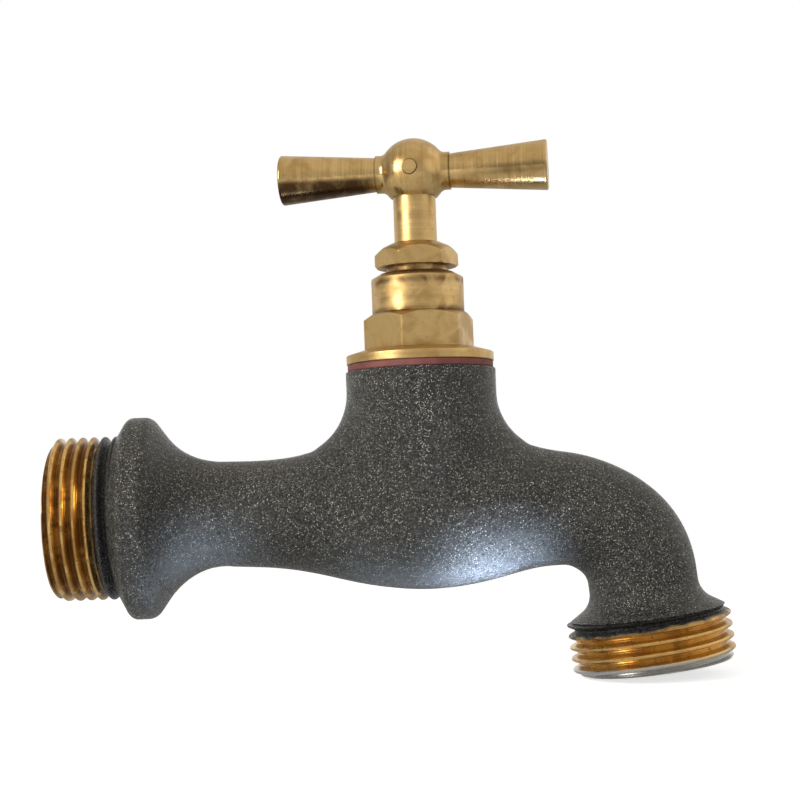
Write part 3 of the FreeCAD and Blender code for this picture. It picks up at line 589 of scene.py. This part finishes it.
cast = {
    "columns": 144,
    # x, radius and rounding of the inlet's bore, the wall flange and its flare
    "flange": [
        (32.0, 0.0, 0), (32.0, 6.5, 0), (0.5, 6.5, 0), (0.3, 6.67, 0), (0.3, 11.9, 0), (0.0, 11.9, 0),
        (0.0, 13.32, 0.1), (1.75, 16.33, 1.3), (5.25, 16.33, 2.2), (10.78, 8.5, 11.6), (17.2, 8.5, 0),
    ],
    # x, top, bottom and half width of the run
    "run": [
        (17.2, 8.50, -8.55, 8.50), (20.0, 8.42, -8.70, 8.70), (23.0, 8.42, -8.85, 8.95),
        (26.0, 8.60, -9.15, 9.25), (29.0, 9.05, -9.70, 9.70), (33.0, 10.0, -10.6, 10.40),
        (37.0, 10.75, -11.65, 11.20), (41.0, 11.3, -12.5, 11.90), (45.5, 11.65, -13.15, 12.40),
        (49.35, 11.8, -13.4, 12.60), (53.5, 11.75, -13.2, 12.50), (57.65, 11.45, -12.7, 12.15),
        (61.0, 10.85, -11.95, 11.55), (64.5, 10.1, -11.0, 10.80), (67.0, 9.45, -10.45, 10.20),
        (69.5, 8.75, -10.2, 9.70), (71.7, 8.27, -10.2, 9.35),
    ],
    "pivot": (71.70, -13.9),
    "elbowSweep": 84.0,
    # angle, outer and inner distance from the pivot, and half width of the elbow
    "elbow": [
        (0, 22.17, 3.7, 9.35), (5, 21.92, 3.65, 9.28), (10, 21.68, 3.6, 9.22), (16, 21.47, 3.56, 9.15),
        (22, 21.38, 3.54, 9.1), (30, 21.33, 3.52, 9.05), (37, 21.33, 3.52, 9.0), (46, 21.43, 3.55, 8.95),
        (52, 21.55, 3.6, 8.92), (59, 21.58, 3.64, 8.9), (66, 21.55, 3.68, 8.88), (73, 21.48, 3.7, 8.86),
        (80, 21.38, 3.7, 8.84), (84, 21.36, 3.7, 8.83),
    ],
    "root": (84.1612, 0.0, -12.5902),
    "rootAxis": (0.1045285, 0.0, -0.9945219),
    # distance from the root, radius and rounding of the skirt and the outlet's throat
    "skirt": [
        (0.0, 8.83, 0), (3.46, 8.83, 3.8), (5.755, 12.5, 0.1), (6.105, 12.15, 0.08), (6.105, 11.9, 0),
        (5.8, 11.9, 0), (5.8, 9.4, 0), (3.905, 9.4, 0), (0.905, 6.5, 0),
    ],
    "boreR": 6.5,
    "boreCentre": 12.53,
    "boreEnd": 25.0,
    "runStep": 0.5,
    "smoothing": 3.2,
    "neckR": 12.25,
    "neckTop": 22.25,
    "neckFace": (0.0, 6.0, 10.8),  # radii of the rings on its top
    "neckEdge": 0.22,
    "neckSink": 0.09,
    "neckUnder": (1.5, 1.2, -4.0),  # how far its foot goes on inwards and down, and where it closes
    "blendWall": 10.2,
    "blendSpout": 9.6,
    "blendSide": 15.0,
    "blendPower": 2.5,  # how quickly the blend at the sides gives way to the others
    "ballTry": (11.5, 30.0, 0.01),  # distances from the neck's axis where the rolling ball is tried
    "seamReach": 4.0,
    "seamPasses": 70,
    "flangeDrop": 0.22,
    "dropOutsideR": 8.0,
    "dropFade": (14.0, 5.0, 1.5),  # where it ends, and over what lengths it fades at both ends
    "wave": 0.07,
    "waveSize": 9.0,
    "waveEnd": 5.0,  # distance from the root where the spout's wave ends
    "waveFade": 3.0,
    "boreSkin": (34.0, 6.9, 7.5),  # x, radius left unpainted and radius left smooth
    # height and radius of the chambers round the seat and of the hole for the headwork
    "chambers": [
        (-10.2, 0.0), (-10.2, 6.8), (-1.0, 6.8), (-1.0, 6.0), (3.2, 6.0), (3.2, 7.6), (2.2, 7.6),
        (2.2, 9.0), (12.95, 9.0), (12.95, 10.52), (23.5, 10.52), (23.5, 0.0),
    ],
}
farBelow = -1e3  # stands for a height where there is no skin


def runStations():
    # rows of base point, turn, outer and inner distance and half width, smoothed as one line
    px, pz = cast["pivot"]
    table = np.array(cast["run"])
    xs = np.arange(table[0, 0], px - 0.01, cast["runStep"])
    bend = np.array(cast["elbow"], float)
    angles = np.linspace(0, cast["elbowSweep"], 40)
    rows = []
    for column, base in ((1, pz), (2, pz), (3, 0.0)):
        straight = np.interp(xs, table[:, 0], table[:, column]) - base
        curved = np.interp(angles, bend[:, 0], bend[:, column])
        rows.append(smoothRow(np.concatenate((straight, curved)), cast["smoothing"]))
    turn = np.radians(np.concatenate((np.zeros(len(xs)), angles)))
    return np.concatenate((xs, np.full(len(angles), px))), turn, *rows


def ringRound(centre, upward, halfUp, halfWide):
    angles = 2 * math.pi * np.arange(cast["columns"]) / cast["columns"]
    return (np.array(centre) + np.outer(np.sin(angles) * halfUp, upward)
            + np.outer(np.cos(angles) * halfWide, (0.0, 1.0, 0.0)))


def upwardAt(angle):
    # away from the elbow's pivot
    return np.array((math.sin(angle), 0, math.cos(angle)))


def castTube():
    # flange, run, elbow and skirt as one closed skin, with the mouths of both waterways
    px, pz = cast["pivot"]
    rings = []
    for x, r in evenLine(roundedLine(cast["flange"], steps=10, support=0.2), longest=0.6):
        rings.append(ringRound((x, 0, 0), (0, 0, 1), r, r))
    for b, t, o, i, w in list(zip(*runStations()))[1:-1]:  # the flange and the skirt make the end rings
        upward = upwardAt(t)
        rings.append(ringRound(np.array((b, 0, pz)) + upward * (o + i) / 2, upward, (o - i) / 2, w))
    across = upwardAt(math.radians(cast["elbowSweep"]))
    root = np.array(cast["root"])
    for s, r in evenLine(roundedLine(cast["skirt"], steps=12, support=0.15), longest=0.5):
        rings.append(ringRound(root + np.array(cast["rootAxis"]) * s, across, r, r))
    for t in np.radians(np.linspace(cast["elbowSweep"], cast["boreEnd"], 24)):
        upward = upwardAt(t)
        centre = np.array((px, 0, pz)) + upward * cast["boreCentre"]
        rings.append(ringRound(centre, upward, cast["boreR"], cast["boreR"]))
    rings.append(ringRound(centre, upward, 0, 0))
    points = np.concatenate(rings)
    # the flange was cast a little low
    x = points[:, 0]
    outside = np.hypot(points[:, 1], points[:, 2]) > cast["dropOutsideR"]
    end, endFade, startFade = cast["dropFade"]
    drop = cast["flangeDrop"] * np.clip((end - x) / endFade, 0, 1) * np.clip(x / startFade, 0, 1)
    points[:, 2] -= np.where(outside, drop, 0)
    return tidyMesh(makePiece("castBody", points, ringFaces(len(rings), cast["columns"])))


def tubeTop(x, y):
    # height of the run's upper skin over a point
    base, turn, outer, inner, width = runStations()
    straight = turn == 0
    pz = cast["pivot"][1]
    top = np.interp(x, base[straight], outer[straight]) + pz
    bottom = np.interp(x, base[straight], inner[straight]) + pz
    inside = 1 - (y / np.interp(x, base[straight], width[straight])) ** 2
    skin = (top + bottom) / 2 + (top - bottom) / 2 * np.sqrt(np.maximum(inside, 0))
    return np.where(inside > 0, skin, farBelow)


def castNeck():
    # neck whose foot rests on the run like a rolling ball, and ends just under the run's skin
    columns = cast["columns"]
    far = np.arange(*cast["ballTry"])
    edgeSteps, arcSteps, wallSteps = 3, 26, 26
    lines, contacts = [], []
    neckR, top, edge = cast["neckR"], cast["neckTop"], cast["neckEdge"]
    inward, down, closing = cast["neckUnder"]
    for j in range(columns):
        angle = 2 * math.pi * j / columns
        c, s = math.cos(angle), math.sin(angle)
        ends = cast["blendSpout"] if c > 0 else cast["blendWall"]
        radius = cast["blendSide"] + (ends - cast["blendSide"]) * abs(c) ** cast["blendPower"]
        heights = tubeTop(headX + far * c, far * s)
        centre = neckR + radius
        under = np.abs(far - centre) < radius
        lift = np.sqrt(np.maximum(radius ** 2 - (far - centre) ** 2, 0))
        rise = np.where(under, heights + lift, farBelow)
        touch = int(np.argmax(rise))
        centreZ = rise[touch] - cast["neckSink"]
        end = math.atan2(heights[touch] - rise[touch], far[touch] - centre)
        sweep = (end if end < 0 else end - 2 * math.pi) + math.pi
        column = [(r, top) for r in cast["neckFace"]]
        for step in range(edgeSteps + 1):
            a = math.pi / 2 * (1 - step / edgeSteps)
            column.append((neckR - edge + edge * math.cos(a), top - edge + edge * math.sin(a)))
        for step in range(1, wallSteps):
            column.append((neckR, top - edge + (centreZ - top + edge) * step / wallSteps))
        for step in range(arcSteps + 1):
            a = -math.pi + sweep * step / arcSteps
            column.append((centre + radius * math.cos(a), centreZ + radius * math.sin(a)))
        contacts.append((headX + far[touch] * c, far[touch] * s, heights[touch]))
        footR, footZ = column[-1]
        column += [(footR - inward, footZ - down), (0.0, closing)]  # under the run's skin
        lines.append([(headX + r * c, r * s, z) for r, z in column])
    rings = np.array(lines).transpose(1, 0, 2)
    return tidyMesh(makePiece("castNeck", rings.reshape(-1, 3), ringFaces(len(rings), columns))), contacts


def easeSeam(piece, seam, reach, passes):
    # relaxes the skin close to a seam, so that the two surfaces run into each other
    mesh = piece.data
    count = len(mesh.vertices)
    places = readPoints(mesh)
    tree = kdtree.KDTree(len(seam))
    for i, p in enumerate(seam):
        tree.insert(Vector(p) * mm, i)
    tree.balance()
    near = np.array([tree.find(Vector(p))[2] for p in places]) / mm
    weight = np.clip(1 - near / reach, 0, 1)
    weight = weight * weight * (3 - 2 * weight)
    edges = np.empty(len(mesh.edges) * 2, int)
    mesh.edges.foreach_get("vertices", edges)
    edges = edges.reshape(-1, 2)
    edges = edges[weight[edges].max(1) > 0]
    degree = np.bincount(edges.ravel(), minlength=count)
    for _ in range(passes):
        total = np.zeros_like(places)
        for axis in range(3):
            total[:, axis] = (np.bincount(edges[:, 0], places[edges[:, 1], axis], count)
                              + np.bincount(edges[:, 1], places[edges[:, 0], axis], count))
        mean = np.where(degree[:, None] > 0, total / np.maximum(degree, 1)[:, None], places)
        places += (mean - places) * 0.5 * weight[:, None]
    writePoints(mesh, places)


def waveSkin(piece, amount, size):
    # slight unevenness of a sand casting, left out close to the machined ends
    mesh = piece.data
    places = readPoints(mesh)
    p = places / mm
    fromSpout = cast["waveEnd"] - (p - np.array(cast["root"])) @ np.array(cast["rootAxis"])
    fromEnds = np.minimum(np.minimum(p[:, 0], fromSpout), cast["neckTop"] - p[:, 2]) / cast["waveFade"]
    boreEnd, _, smoothR = cast["boreSkin"]
    bore = (np.hypot(p[:, 1], p[:, 2]) < smoothR) & (p[:, 0] < boreEnd)
    share = np.where(bore, 0, np.clip(fromEnds, 0, 1))
    ripple = Vector((9, 4, 2))  # keeps the fine waves apart from the broad ones
    spots = [Vector(q) / size for q in p]
    lift = np.array([noise.noise(q) * 0.7 + noise.noise(q * 2.3 + ripple) * 0.3 for q in spots])
    places += readPoints(mesh, "normal") * (lift * amount * share * mm)[:, None]
    writePoints(mesh, places)


def markSkin(piece):
    # 1 where the casting is painted and 0 in its inlet bore; the chambers cut later stay 0 as well
    p = readPoints(piece.data) / mm
    boreEnd, bareR, _ = cast["boreSkin"]
    bore = (np.hypot(p[:, 1], p[:, 2]) < bareR) & (p[:, 0] < boreEnd)
    writeShare(piece.data, "paintedSkin", np.where(bore, 0.0, 1.0))


castBody = castTube()
neck, seam = castNeck()
applyBoolean(castBody, neck, "UNION")
easeSeam(castBody, seam, cast["seamReach"], cast["seamPasses"])
waveSkin(castBody, cast["wave"], cast["waveSize"])
markSkin(castBody)
chambers = turnedPiece("chambers", cast["chambers"], headX, columns=96)
applyBoolean(castBody, chambers, "DIFFERENCE")
tidyMesh(castBody)
finishPiece(castBody, castFinish, "tap_body")


# Pipe threads

def threadTree():
    # Geometry Nodes: a grid wrapped round the axis, its rows following the helix, with the end face
    # and the bore
    tree = bpy.data.node_groups.new("pipeThread", "GeometryNodeTree")
    tree.is_modifier = True
    wanted = dict.fromkeys(("Around", "Rows Per Turn"), "NodeSocketInt")
    wanted.update(dict.fromkeys(
        ("Length", "Sink", "Pitch", "Crest Radius", "Groove Depth", "Crest Share", "Root Share", "Phase",
         "End Chamfer", "Bore Radius", "Bore Chamfer", "Bore Depth", "Throat Radius"), "NodeSocketFloat"))
    wanted["Finish"] = "NodeSocketMaterial"
    for label, kind in wanted.items():
        tree.interface.new_socket(label, in_out="INPUT", socket_type=kind)
    tree.interface.new_socket("Geometry", in_out="OUTPUT", socket_type="NodeSocketGeometry")
    give = addNode(tree, "NodeGroupInput").outputs

    turns = calc("CEIL", plus(over(give["Length"], give["Pitch"]), 1.0))
    threadRows = plus(times(turns, give["Rows Per Turn"]), 1.0)
    allRows = plus(threadRows, 6.0)  # six more rows for the end face and the bore
    lastRow = less(allRows, 1.0)
    grid = addNode(tree, "GeometryNodeMeshGrid", {
        "Size X": give["Around"], "Size Y": lastRow,
        "Vertices X": plus(give["Around"], 1.0), "Vertices Y": allRows})
    x, y, _ = splitNode("XYZ", addNode(tree, "GeometryNodeInputPosition").outputs[0])
    share = over(plus(x, over(give["Around"], 2.0)), give["Around"])
    row = calc("ROUND", plus(y, over(lastRow, 2.0)))
    angle = times(share, 2 * math.pi)
    turnsIn = plus(less(over(row, give["Rows Per Turn"]), 1.0), share)
    along = calc("MINIMUM", calc("MAXIMUM", times(turnsIn, give["Pitch"]), 0.0), give["Length"])

    def crestRadius(distance):
        # fall is 0 on a crest and 1 in a groove
        turnsOut = less(over(distance, give["Pitch"]), share)
        turnShare = calc("FRACT", plus(turnsOut, plus(give["Phase"], 8.0)))
        away = calc("ABSOLUTE", less(times(turnShare, 2.0), 1.0))
        flank = less(less(1.0, give["Root Share"]), give["Crest Share"])
        drop = over(less(away, give["Crest Share"]), flank)
        fall = addNode(tree, "ShaderNodeClamp", {0: drop}).outputs[0]
        rounded = times(times(fall, fall), less(3.0, times(fall, 2.0)))
        full = less(give["Crest Radius"], times(rounded, give["Groove Depth"]))
        limit = plus(less(give["Crest Radius"], give["End Chamfer"]), distance)
        return calc("MINIMUM", full, limit)

    radius = crestRadius(along)
    sunk = plus(give["Length"], give["Sink"])
    coreRadius = less(less(give["Crest Radius"], give["Groove Depth"]), 0.2 * mm)
    after = less(row, threadRows)
    extra = [
        (sunk, coreRadius),
        (sunk, give["Throat Radius"]),
        (give["Bore Depth"], give["Bore Radius"]),
        (give["Bore Chamfer"], give["Bore Radius"]),
        (0.0, plus(give["Bore Radius"], give["Bore Chamfer"])),
        (0.0, crestRadius(0.0)),
    ]
    for index, (rowAlong, rowRadius) in enumerate(extra):
        chosen = addNode(tree, "FunctionNodeCompare", {0: after, 1: index - 0.5},
                         data_type="FLOAT", operation="GREATER_THAN").outputs[0]
        along, radius = (
            addNode(tree, "GeometryNodeSwitch", {"Switch": chosen, "False": before, "True": later},
                    input_type="FLOAT").outputs[0]
            for before, later in ((along, rowAlong), (radius, rowRadius)))
    place = addNode(tree, "ShaderNodeCombineXYZ", {
        0: times(radius, calc("COSINE", angle)), 1: times(radius, calc("SINE", angle)), 2: along})
    moved = addNode(tree, "GeometryNodeSetPosition", {
        "Geometry": grid.outputs["Mesh"], "Position": place.outputs[0]})
    merged = addNode(tree, "GeometryNodeMergeByDistance", {
        "Geometry": moved.outputs[0], "Distance": 0.002 * mm})
    real = addNode(tree, "GeometryNodeRealizeInstances", {0: merged.outputs[0]})
    finish = addNode(tree, "GeometryNodeSetMaterial", {
        "Geometry": real.outputs[0], "Material": give["Finish"]})
    addNode(tree, "NodeGroupOutput", {0: finish.outputs[0]})
    return tree


def runTree(name, tree, values):
    # a mesh made by a tree with the given inputs, as a plain mesh object
    holder = bpy.data.objects.new(name, bpy.data.meshes.new(name))
    bpy.context.scene.collection.objects.link(holder)
    modifier = holder.modifiers.new("build", "NODES")
    modifier.node_group = tree
    for item in tree.interface.items_tree:
        if item.in_out == "INPUT" and item.name in values:
            modifier[item.identifier] = values[item.name]
    made = appliedMesh(holder)
    holder.modifiers.remove(modifier)
    holder.data = made
    made.name = name
    return holder


# Lengths, then shares and counts, of both threads
threadSizes = {"Pitch": 1.814, "Crest Radius": 13.2, "Groove Depth": 1.162, "Sink": 0.28,
               "End Chamfer": 0.85, "Bore Chamfer": 0.35}
threadShares = {"Around": 180, "Rows Per Turn": 18, "Crest Share": 0.09, "Root Share": 0.0, "Phase": 0.5}
inletThread = {
    "sizes": {"Length": 10.5, "Bore Radius": 9.0, "Bore Depth": 8.0, "Throat Radius": 6.70},
    "end": (-10.5, 0.0, 0.0), "axis": (1.0, 0.0, 0.0),
    "paintAxis": (1.0, 0.0, 0.02), "paint": (7.3, 7.9),  # distances from the end where paint starts and is full
    "silver": None, "grooveDark": 0.75, "stain": 1.7,
}
outletThread = {
    "sizes": {"Length": 8.3, "Bore Radius": 9.4, "Bore Depth": 8.3, "Throat Radius": 9.4},
    "end": (85.66695, 0.0, -26.9162), "axis": (-0.1045285, 0.0, 0.9945219),
    "paintAxis": (-0.145, 0.0, 0.99), "paint": (6.6, 7.1),
    "silver": (1.14, 1.9), "grooveDark": 0.1, "stain": 0.7,
}


def makeThread(name, thread, tree):
    material = threadBrass(name + "Finish", thread)
    lengths = {label: size * mm for label, size in dict(threadSizes, **thread["sizes"]).items()}
    piece = runTree(name, tree, dict(threadShares, **lengths, Finish=material))
    turn = Vector((0, 0, 1)).rotation_difference(Vector(thread["axis"])).to_matrix().to_4x4()
    piece.data.transform(Matrix.Translation(Vector(thread["end"]) * mm) @ turn)
    tidyMesh(piece, sharpAngle=30)
    finishPiece(piece, material, "tap_body")


pipeThread = threadTree()
makeThread("inletThread", inletThread, pipeThread)
makeThread("outletThread", outletThread, pipeThread)


# Headwork

bonnet = {
    "flats": 16.0, "turn": -17.8, "hexBetween": (25.72, 31.6), "cornerWear": 0.03,
    "cornerBlend": 0.02, "edgeBlend": 0.12, "step": 0.3, "cornerDarkReach": 0.55, "columns": 216,
    "innerCorners": [(25.75, 8.6), (31.65, 7.55), (38.2, 5.0), (36.5, 7.55)],
    # height, radius and rounding
    "line": [
        (13.25, 7.6, 0), (13.25, 10.4775, 0.3), (23.4, 10.4775, 0), (23.4, 12.05, 0.15),
        (24.85, 12.05, 0.2), (25.7, 9.24, 0.1), (30.5, 9.24, 0.1), (31.65, 7.55, 0.06), (37.3, 7.55, 0.2),
        (38.2, 5.95, 0.15), (38.2, 4.99, 0.15), (32.4, 4.99, 0), (32.4, 3.56, 0), (31.7, 3.56, 0),
        (31.7, 5.3, 0), (28.55, 5.3, 0), (28.55, 5.06, 0), (21.05, 5.06, 0), (21.05, 7.6, 0),
    ],
}
glandNut = {
    "flats": 12.0, "turn": -25.5, "hexBetween": (39.21, 43.1), "cornerWear": 0.03,
    "cornerBlend": 0.02, "edgeBlend": 0.1, "step": 0.25, "cornerDarkReach": 0.6, "columns": 180,
    "innerCorners": [(38.4, 4.95), (39.2, 5.2), (43.2, 3.6)],
    "line": [
        (35.81, 3.56, 0), (35.81, 4.95, 0.1), (39.2, 4.95, 0.05), (39.2, 6.55, 0.1), (39.5, 6.93, 0.1),
        (41.2, 6.93, 0.5), (42.44, 5.6, 1.6), (43.2, 3.95, 0.15), (43.2, 3.56, 0),
    ],
}
washer = {"line": [(22.25, 10.52, 0), (22.25, 11.9, 0.22), (23.4, 11.9, 0.22), (23.4, 10.52, 0)]}


def softMin(a, b, blend):
    h = np.clip(0.5 + 0.5 * (b - a) / blend, 0, 1)
    return b * (1 - h) + a * h - blend * h * (1 - h)


def hexPiece(name, sizes):
    # turned outline whose outer radius is held in by a hexagon between two heights
    line = evenLine(roundedLine(sizes["line"], steps=5, support=0.08), sizes["step"])
    low, high = sizes["hexBetween"]
    columns = sizes["columns"]
    turn = math.radians(sizes["turn"])
    angles = turn + 2 * math.pi * np.arange(columns) / columns
    fromFlat = (angles - turn + math.pi / 6) % (math.pi / 3) - math.pi / 6
    corner = sizes["flats"] / math.sqrt(3) - sizes["cornerWear"]
    flat = softMin(sizes["flats"] / 2 / np.cos(fromFlat), np.full(columns, corner), sizes["cornerBlend"])
    rings, plain = [], []
    boreLimit = sizes["flats"] / 2 - 1.0  # what lies deeper is a bore and stays round
    for z, r in line:
        radius = np.full(columns, r)
        if low < z < high and r > boreLimit:
            radius = softMin(radius, flat, sizes["edgeBlend"])
        plain.append(np.clip((r - radius) / 0.1, 0, 1))  # a face is flat from 0.1 mm under the turned line
        across = headX + radius * np.cos(angles)
        rings.append(np.stack((across, radius * np.sin(angles), np.full(columns, z)), 1))
    piece = makePiece(name, np.concatenate(rings), ringFaces(len(rings), columns, closed=True))
    away = np.min([np.hypot(line[:, 0] - z, line[:, 1] - r) for z, r in sizes["innerCorners"]], axis=0)
    writeShare(piece.data, "plainFace", np.concatenate(plain))
    writeShare(piece.data, "innerCorner", np.repeat(np.exp(-(away / sizes["cornerDarkReach"]) ** 2), columns))
    return tidyMesh(piece, sharpAngle=35)


finishPiece(hexPiece("bonnetCasing", bonnet), headFinish, "bonnet")
finishPiece(hexPiece("glandNut", glandNut), headFinish, "gland_nut")
washerLine = roundedLine(washer["line"], steps=4, support=0.05)
washerPiece = turnedPiece("fibreWasher", washerLine, headX, columns=144, closed=True)
finishPiece(washerPiece, fibreFinish, "bonnet_washer")


# Handle and inner parts, whose CAD shapes stay

handle = {"centre": (headX, 0.0, 54.938), "turn": (0.0, -90.0, -8.0)}
armFinish = turnedBrass("handleBrass", handleLook, handle["centre"], handle["turn"], handlePart=True)
nodeFinishes = {
    "handle_hub": armFinish, "handle_arm_wall": armFinish, "handle_arm_spout": armFinish,
    "spindle": innerFinish, "handle_pin": innerFinish, "gland_washer": innerFinish,
    "valve_carrier": innerFinish, "valve_screw": innerFinish, "valve_ring": steelFinish,
    "valve_washer": rubberFinish, "packing_ring_1": packingFinish, "packing_ring_2": packingFinish,
}
for name, finish in nodeFinishes.items():
    nodes[name].data.materials.clear()
    nodes[name].data.materials.append(finish)
print("handle and inner parts finished")


# Floor, light and camera

ground = {"z": -28.6, "half": 900.0, "colour": (0.78, 0.79, 0.80, 1), "rough": 0.9,
          "glow": 0.70, "shine": 0.08}

# The room as gloss shows it, and its even level for all else. An edge is where a change starts and
# ends along one direction.
room = {
    "level": 0.34, "front": 0.60, "limit": 1.1,
    "backEdge": (-0.05, 0.55), "backTop": 0.2, "backTopEdge": (0.1, 0.7),
    "right": 0.5, "rightEdge": (0.35, 0.95), "top": 0.2, "topEdge": (0.1, 0.75),
    "left": 0.22, "leftEdge": (-0.15, -0.75), "topColour": (1.0, 0.95, 0.87, 1), "warmEdge": (-0.1, 0.6),
}

# name, place, aim, size, power in watts, colour, what it lights, and the spread of its beam
lamps = [
    ("windowLeft", (-385, -310, 210), (45, 0, 12), (250, 290), 2.0, (1.0, 0.99, 0.96), "both", 180),
    ("softFront", (60, -560, 100), (50, 0, 5), (520, 300), 1.5, (1.0, 0.98, 0.95), "diffuse", 180),
    ("coolLow", (60, -12.5, -27.9), (59, 1.5, -4), (10, 9), 0.0310, (0.60, 0.75, 1.0), "gloss", 62),
    ("coolBelly", (47, -10.5, -27.9), (47, 2, -6), (20, 8), 0.0060, (0.62, 0.78, 1.0), "gloss", 62),
    ("coolWall", (15, -16.5, -27.9), (11, -4, -8), (10, 11), 0.0075, (0.62, 0.78, 1.0), "gloss", 60),
]

photoView = {"place": (43.778, -257.031, 3.29), "yaw": 0.455, "pitch": 3.174, "roll": -2.043, "lens": 70.85}


def seenBy(tree):
    # 1 for the camera, and 1 for a mirrored or bent ray
    path = addNode(tree, "ShaderNodeLightPath").outputs
    return path["Is Camera Ray"], calc("MAXIMUM", path["Is Glossy Ray"], path["Is Transmission Ray"])


def makeFloor():
    half, z = ground["half"], ground["z"]
    corners = [(-half, -half, z), (half, -half, z), (half, half, z), (-half, half, z)]
    floor = makePiece("studioFloor", corners, [(0, 1, 2, 3)])
    material, shader, place = newMaterial("floorPaint")
    camera, mirrored = seenBy(treeOf(place))
    glow = calc("MAXIMUM", times(camera, ground["glow"]), times(mirrored, ground["shine"]))
    feed(shader, {"Base Color": ground["colour"], "Roughness": ground["rough"],
                  "Emission Color": (1, 1, 1, 1), "Emission Strength": glow})
    floor.data.materials.append(material)


def makeWorld():
    world = bpy.data.worlds.new("studioWorld")
    world.use_nodes = True
    tree = world.node_tree
    tree.nodes.clear()
    x, y, z = splitNode("XYZ", addNode(tree, "ShaderNodeTexCoord").outputs["Generated"])
    # the room is white behind the tap, lighter at the right and overhead, and dim at the viewer's side
    back = times(softRange(y, *room["backEdge"]), softRange(z, *room["backTopEdge"], 1.0, room["backTop"]))
    right = softRange(x, *room["rightEdge"], 0.0, room["right"])
    above = softRange(z, *room["topEdge"], 0.0, room["top"])
    left = softRange(x, *room["leftEdge"], 0.0, room["left"])
    front = less(plus(plus(right, above), room["front"]), left)
    shown = calc("MAXIMUM", calc("MINIMUM", front, room["limit"]), back)
    camera, mirrored = seenBy(tree)
    notCamera = less(1.0, camera)
    strength = calc("MAXIMUM", camera, times(notCamera, mixValue(mirrored, room["level"], shown)))
    warm = times(notCamera, mapRange(z, *room["warmEdge"]))
    colour = mixColour(warm, (1, 1, 1, 1), room["topColour"])
    shader = addNode(tree, "ShaderNodeBackground", {"Color": colour, "Strength": strength})
    addNode(tree, "ShaderNodeOutputWorld", {0: shader.outputs[0]})
    bpy.context.scene.world = world


def makeLamp(name, place, aim, size, power, colour, given, spread):
    lamp = bpy.data.lights.new(name, "AREA")
    lamp.shape = "RECTANGLE"
    lamp.size, lamp.size_y = inMetres(size)
    lamp.energy = power
    lamp.spread = math.radians(spread)
    lamp.color = colour
    holder = bpy.data.objects.new(name, lamp)
    bpy.context.scene.collection.objects.link(holder)
    start = Vector(place) * mm
    holder.location = start
    holder.rotation_euler = (Vector(aim) * mm - start).to_track_quat("-Z", "Y").to_euler()
    holder.visible_camera = False
    holder.visible_glossy = given != "diffuse"
    holder.visible_diffuse = given != "gloss"


def makeCamera():
    yaw, pitch, roll = (math.radians(photoView[key]) for key in ("yaw", "pitch", "roll"))
    ahead = Vector((math.sin(yaw), math.cos(yaw), 0))
    right = Vector((math.cos(yaw), -math.sin(yaw), 0))
    up = Vector((0, 0, 1))
    ahead, up = ahead * math.cos(pitch) + up * math.sin(pitch), up * math.cos(pitch) - ahead * math.sin(pitch)
    right, up = right * math.cos(roll) + up * math.sin(roll), up * math.cos(roll) - right * math.sin(roll)
    lens = bpy.data.cameras.new("photoCamera")
    lens.lens = photoView["lens"]
    lens.sensor_width = 36
    lens.clip_start, lens.clip_end = 0.01, 20
    holder = bpy.data.objects.new("photoCamera", lens)
    bpy.context.scene.collection.objects.link(holder)
    turn = Matrix((right, up, -ahead)).transposed().to_4x4()
    holder.matrix_world = Matrix.Translation(Vector(photoView["place"]) * mm) @ turn
    bpy.context.scene.camera = holder


makeFloor()
makeWorld()
for lamp in lamps:
    makeLamp(*lamp)
makeCamera()
bpy.context.scene.view_settings.view_transform = "Standard"
print("floor, light and camera ready")
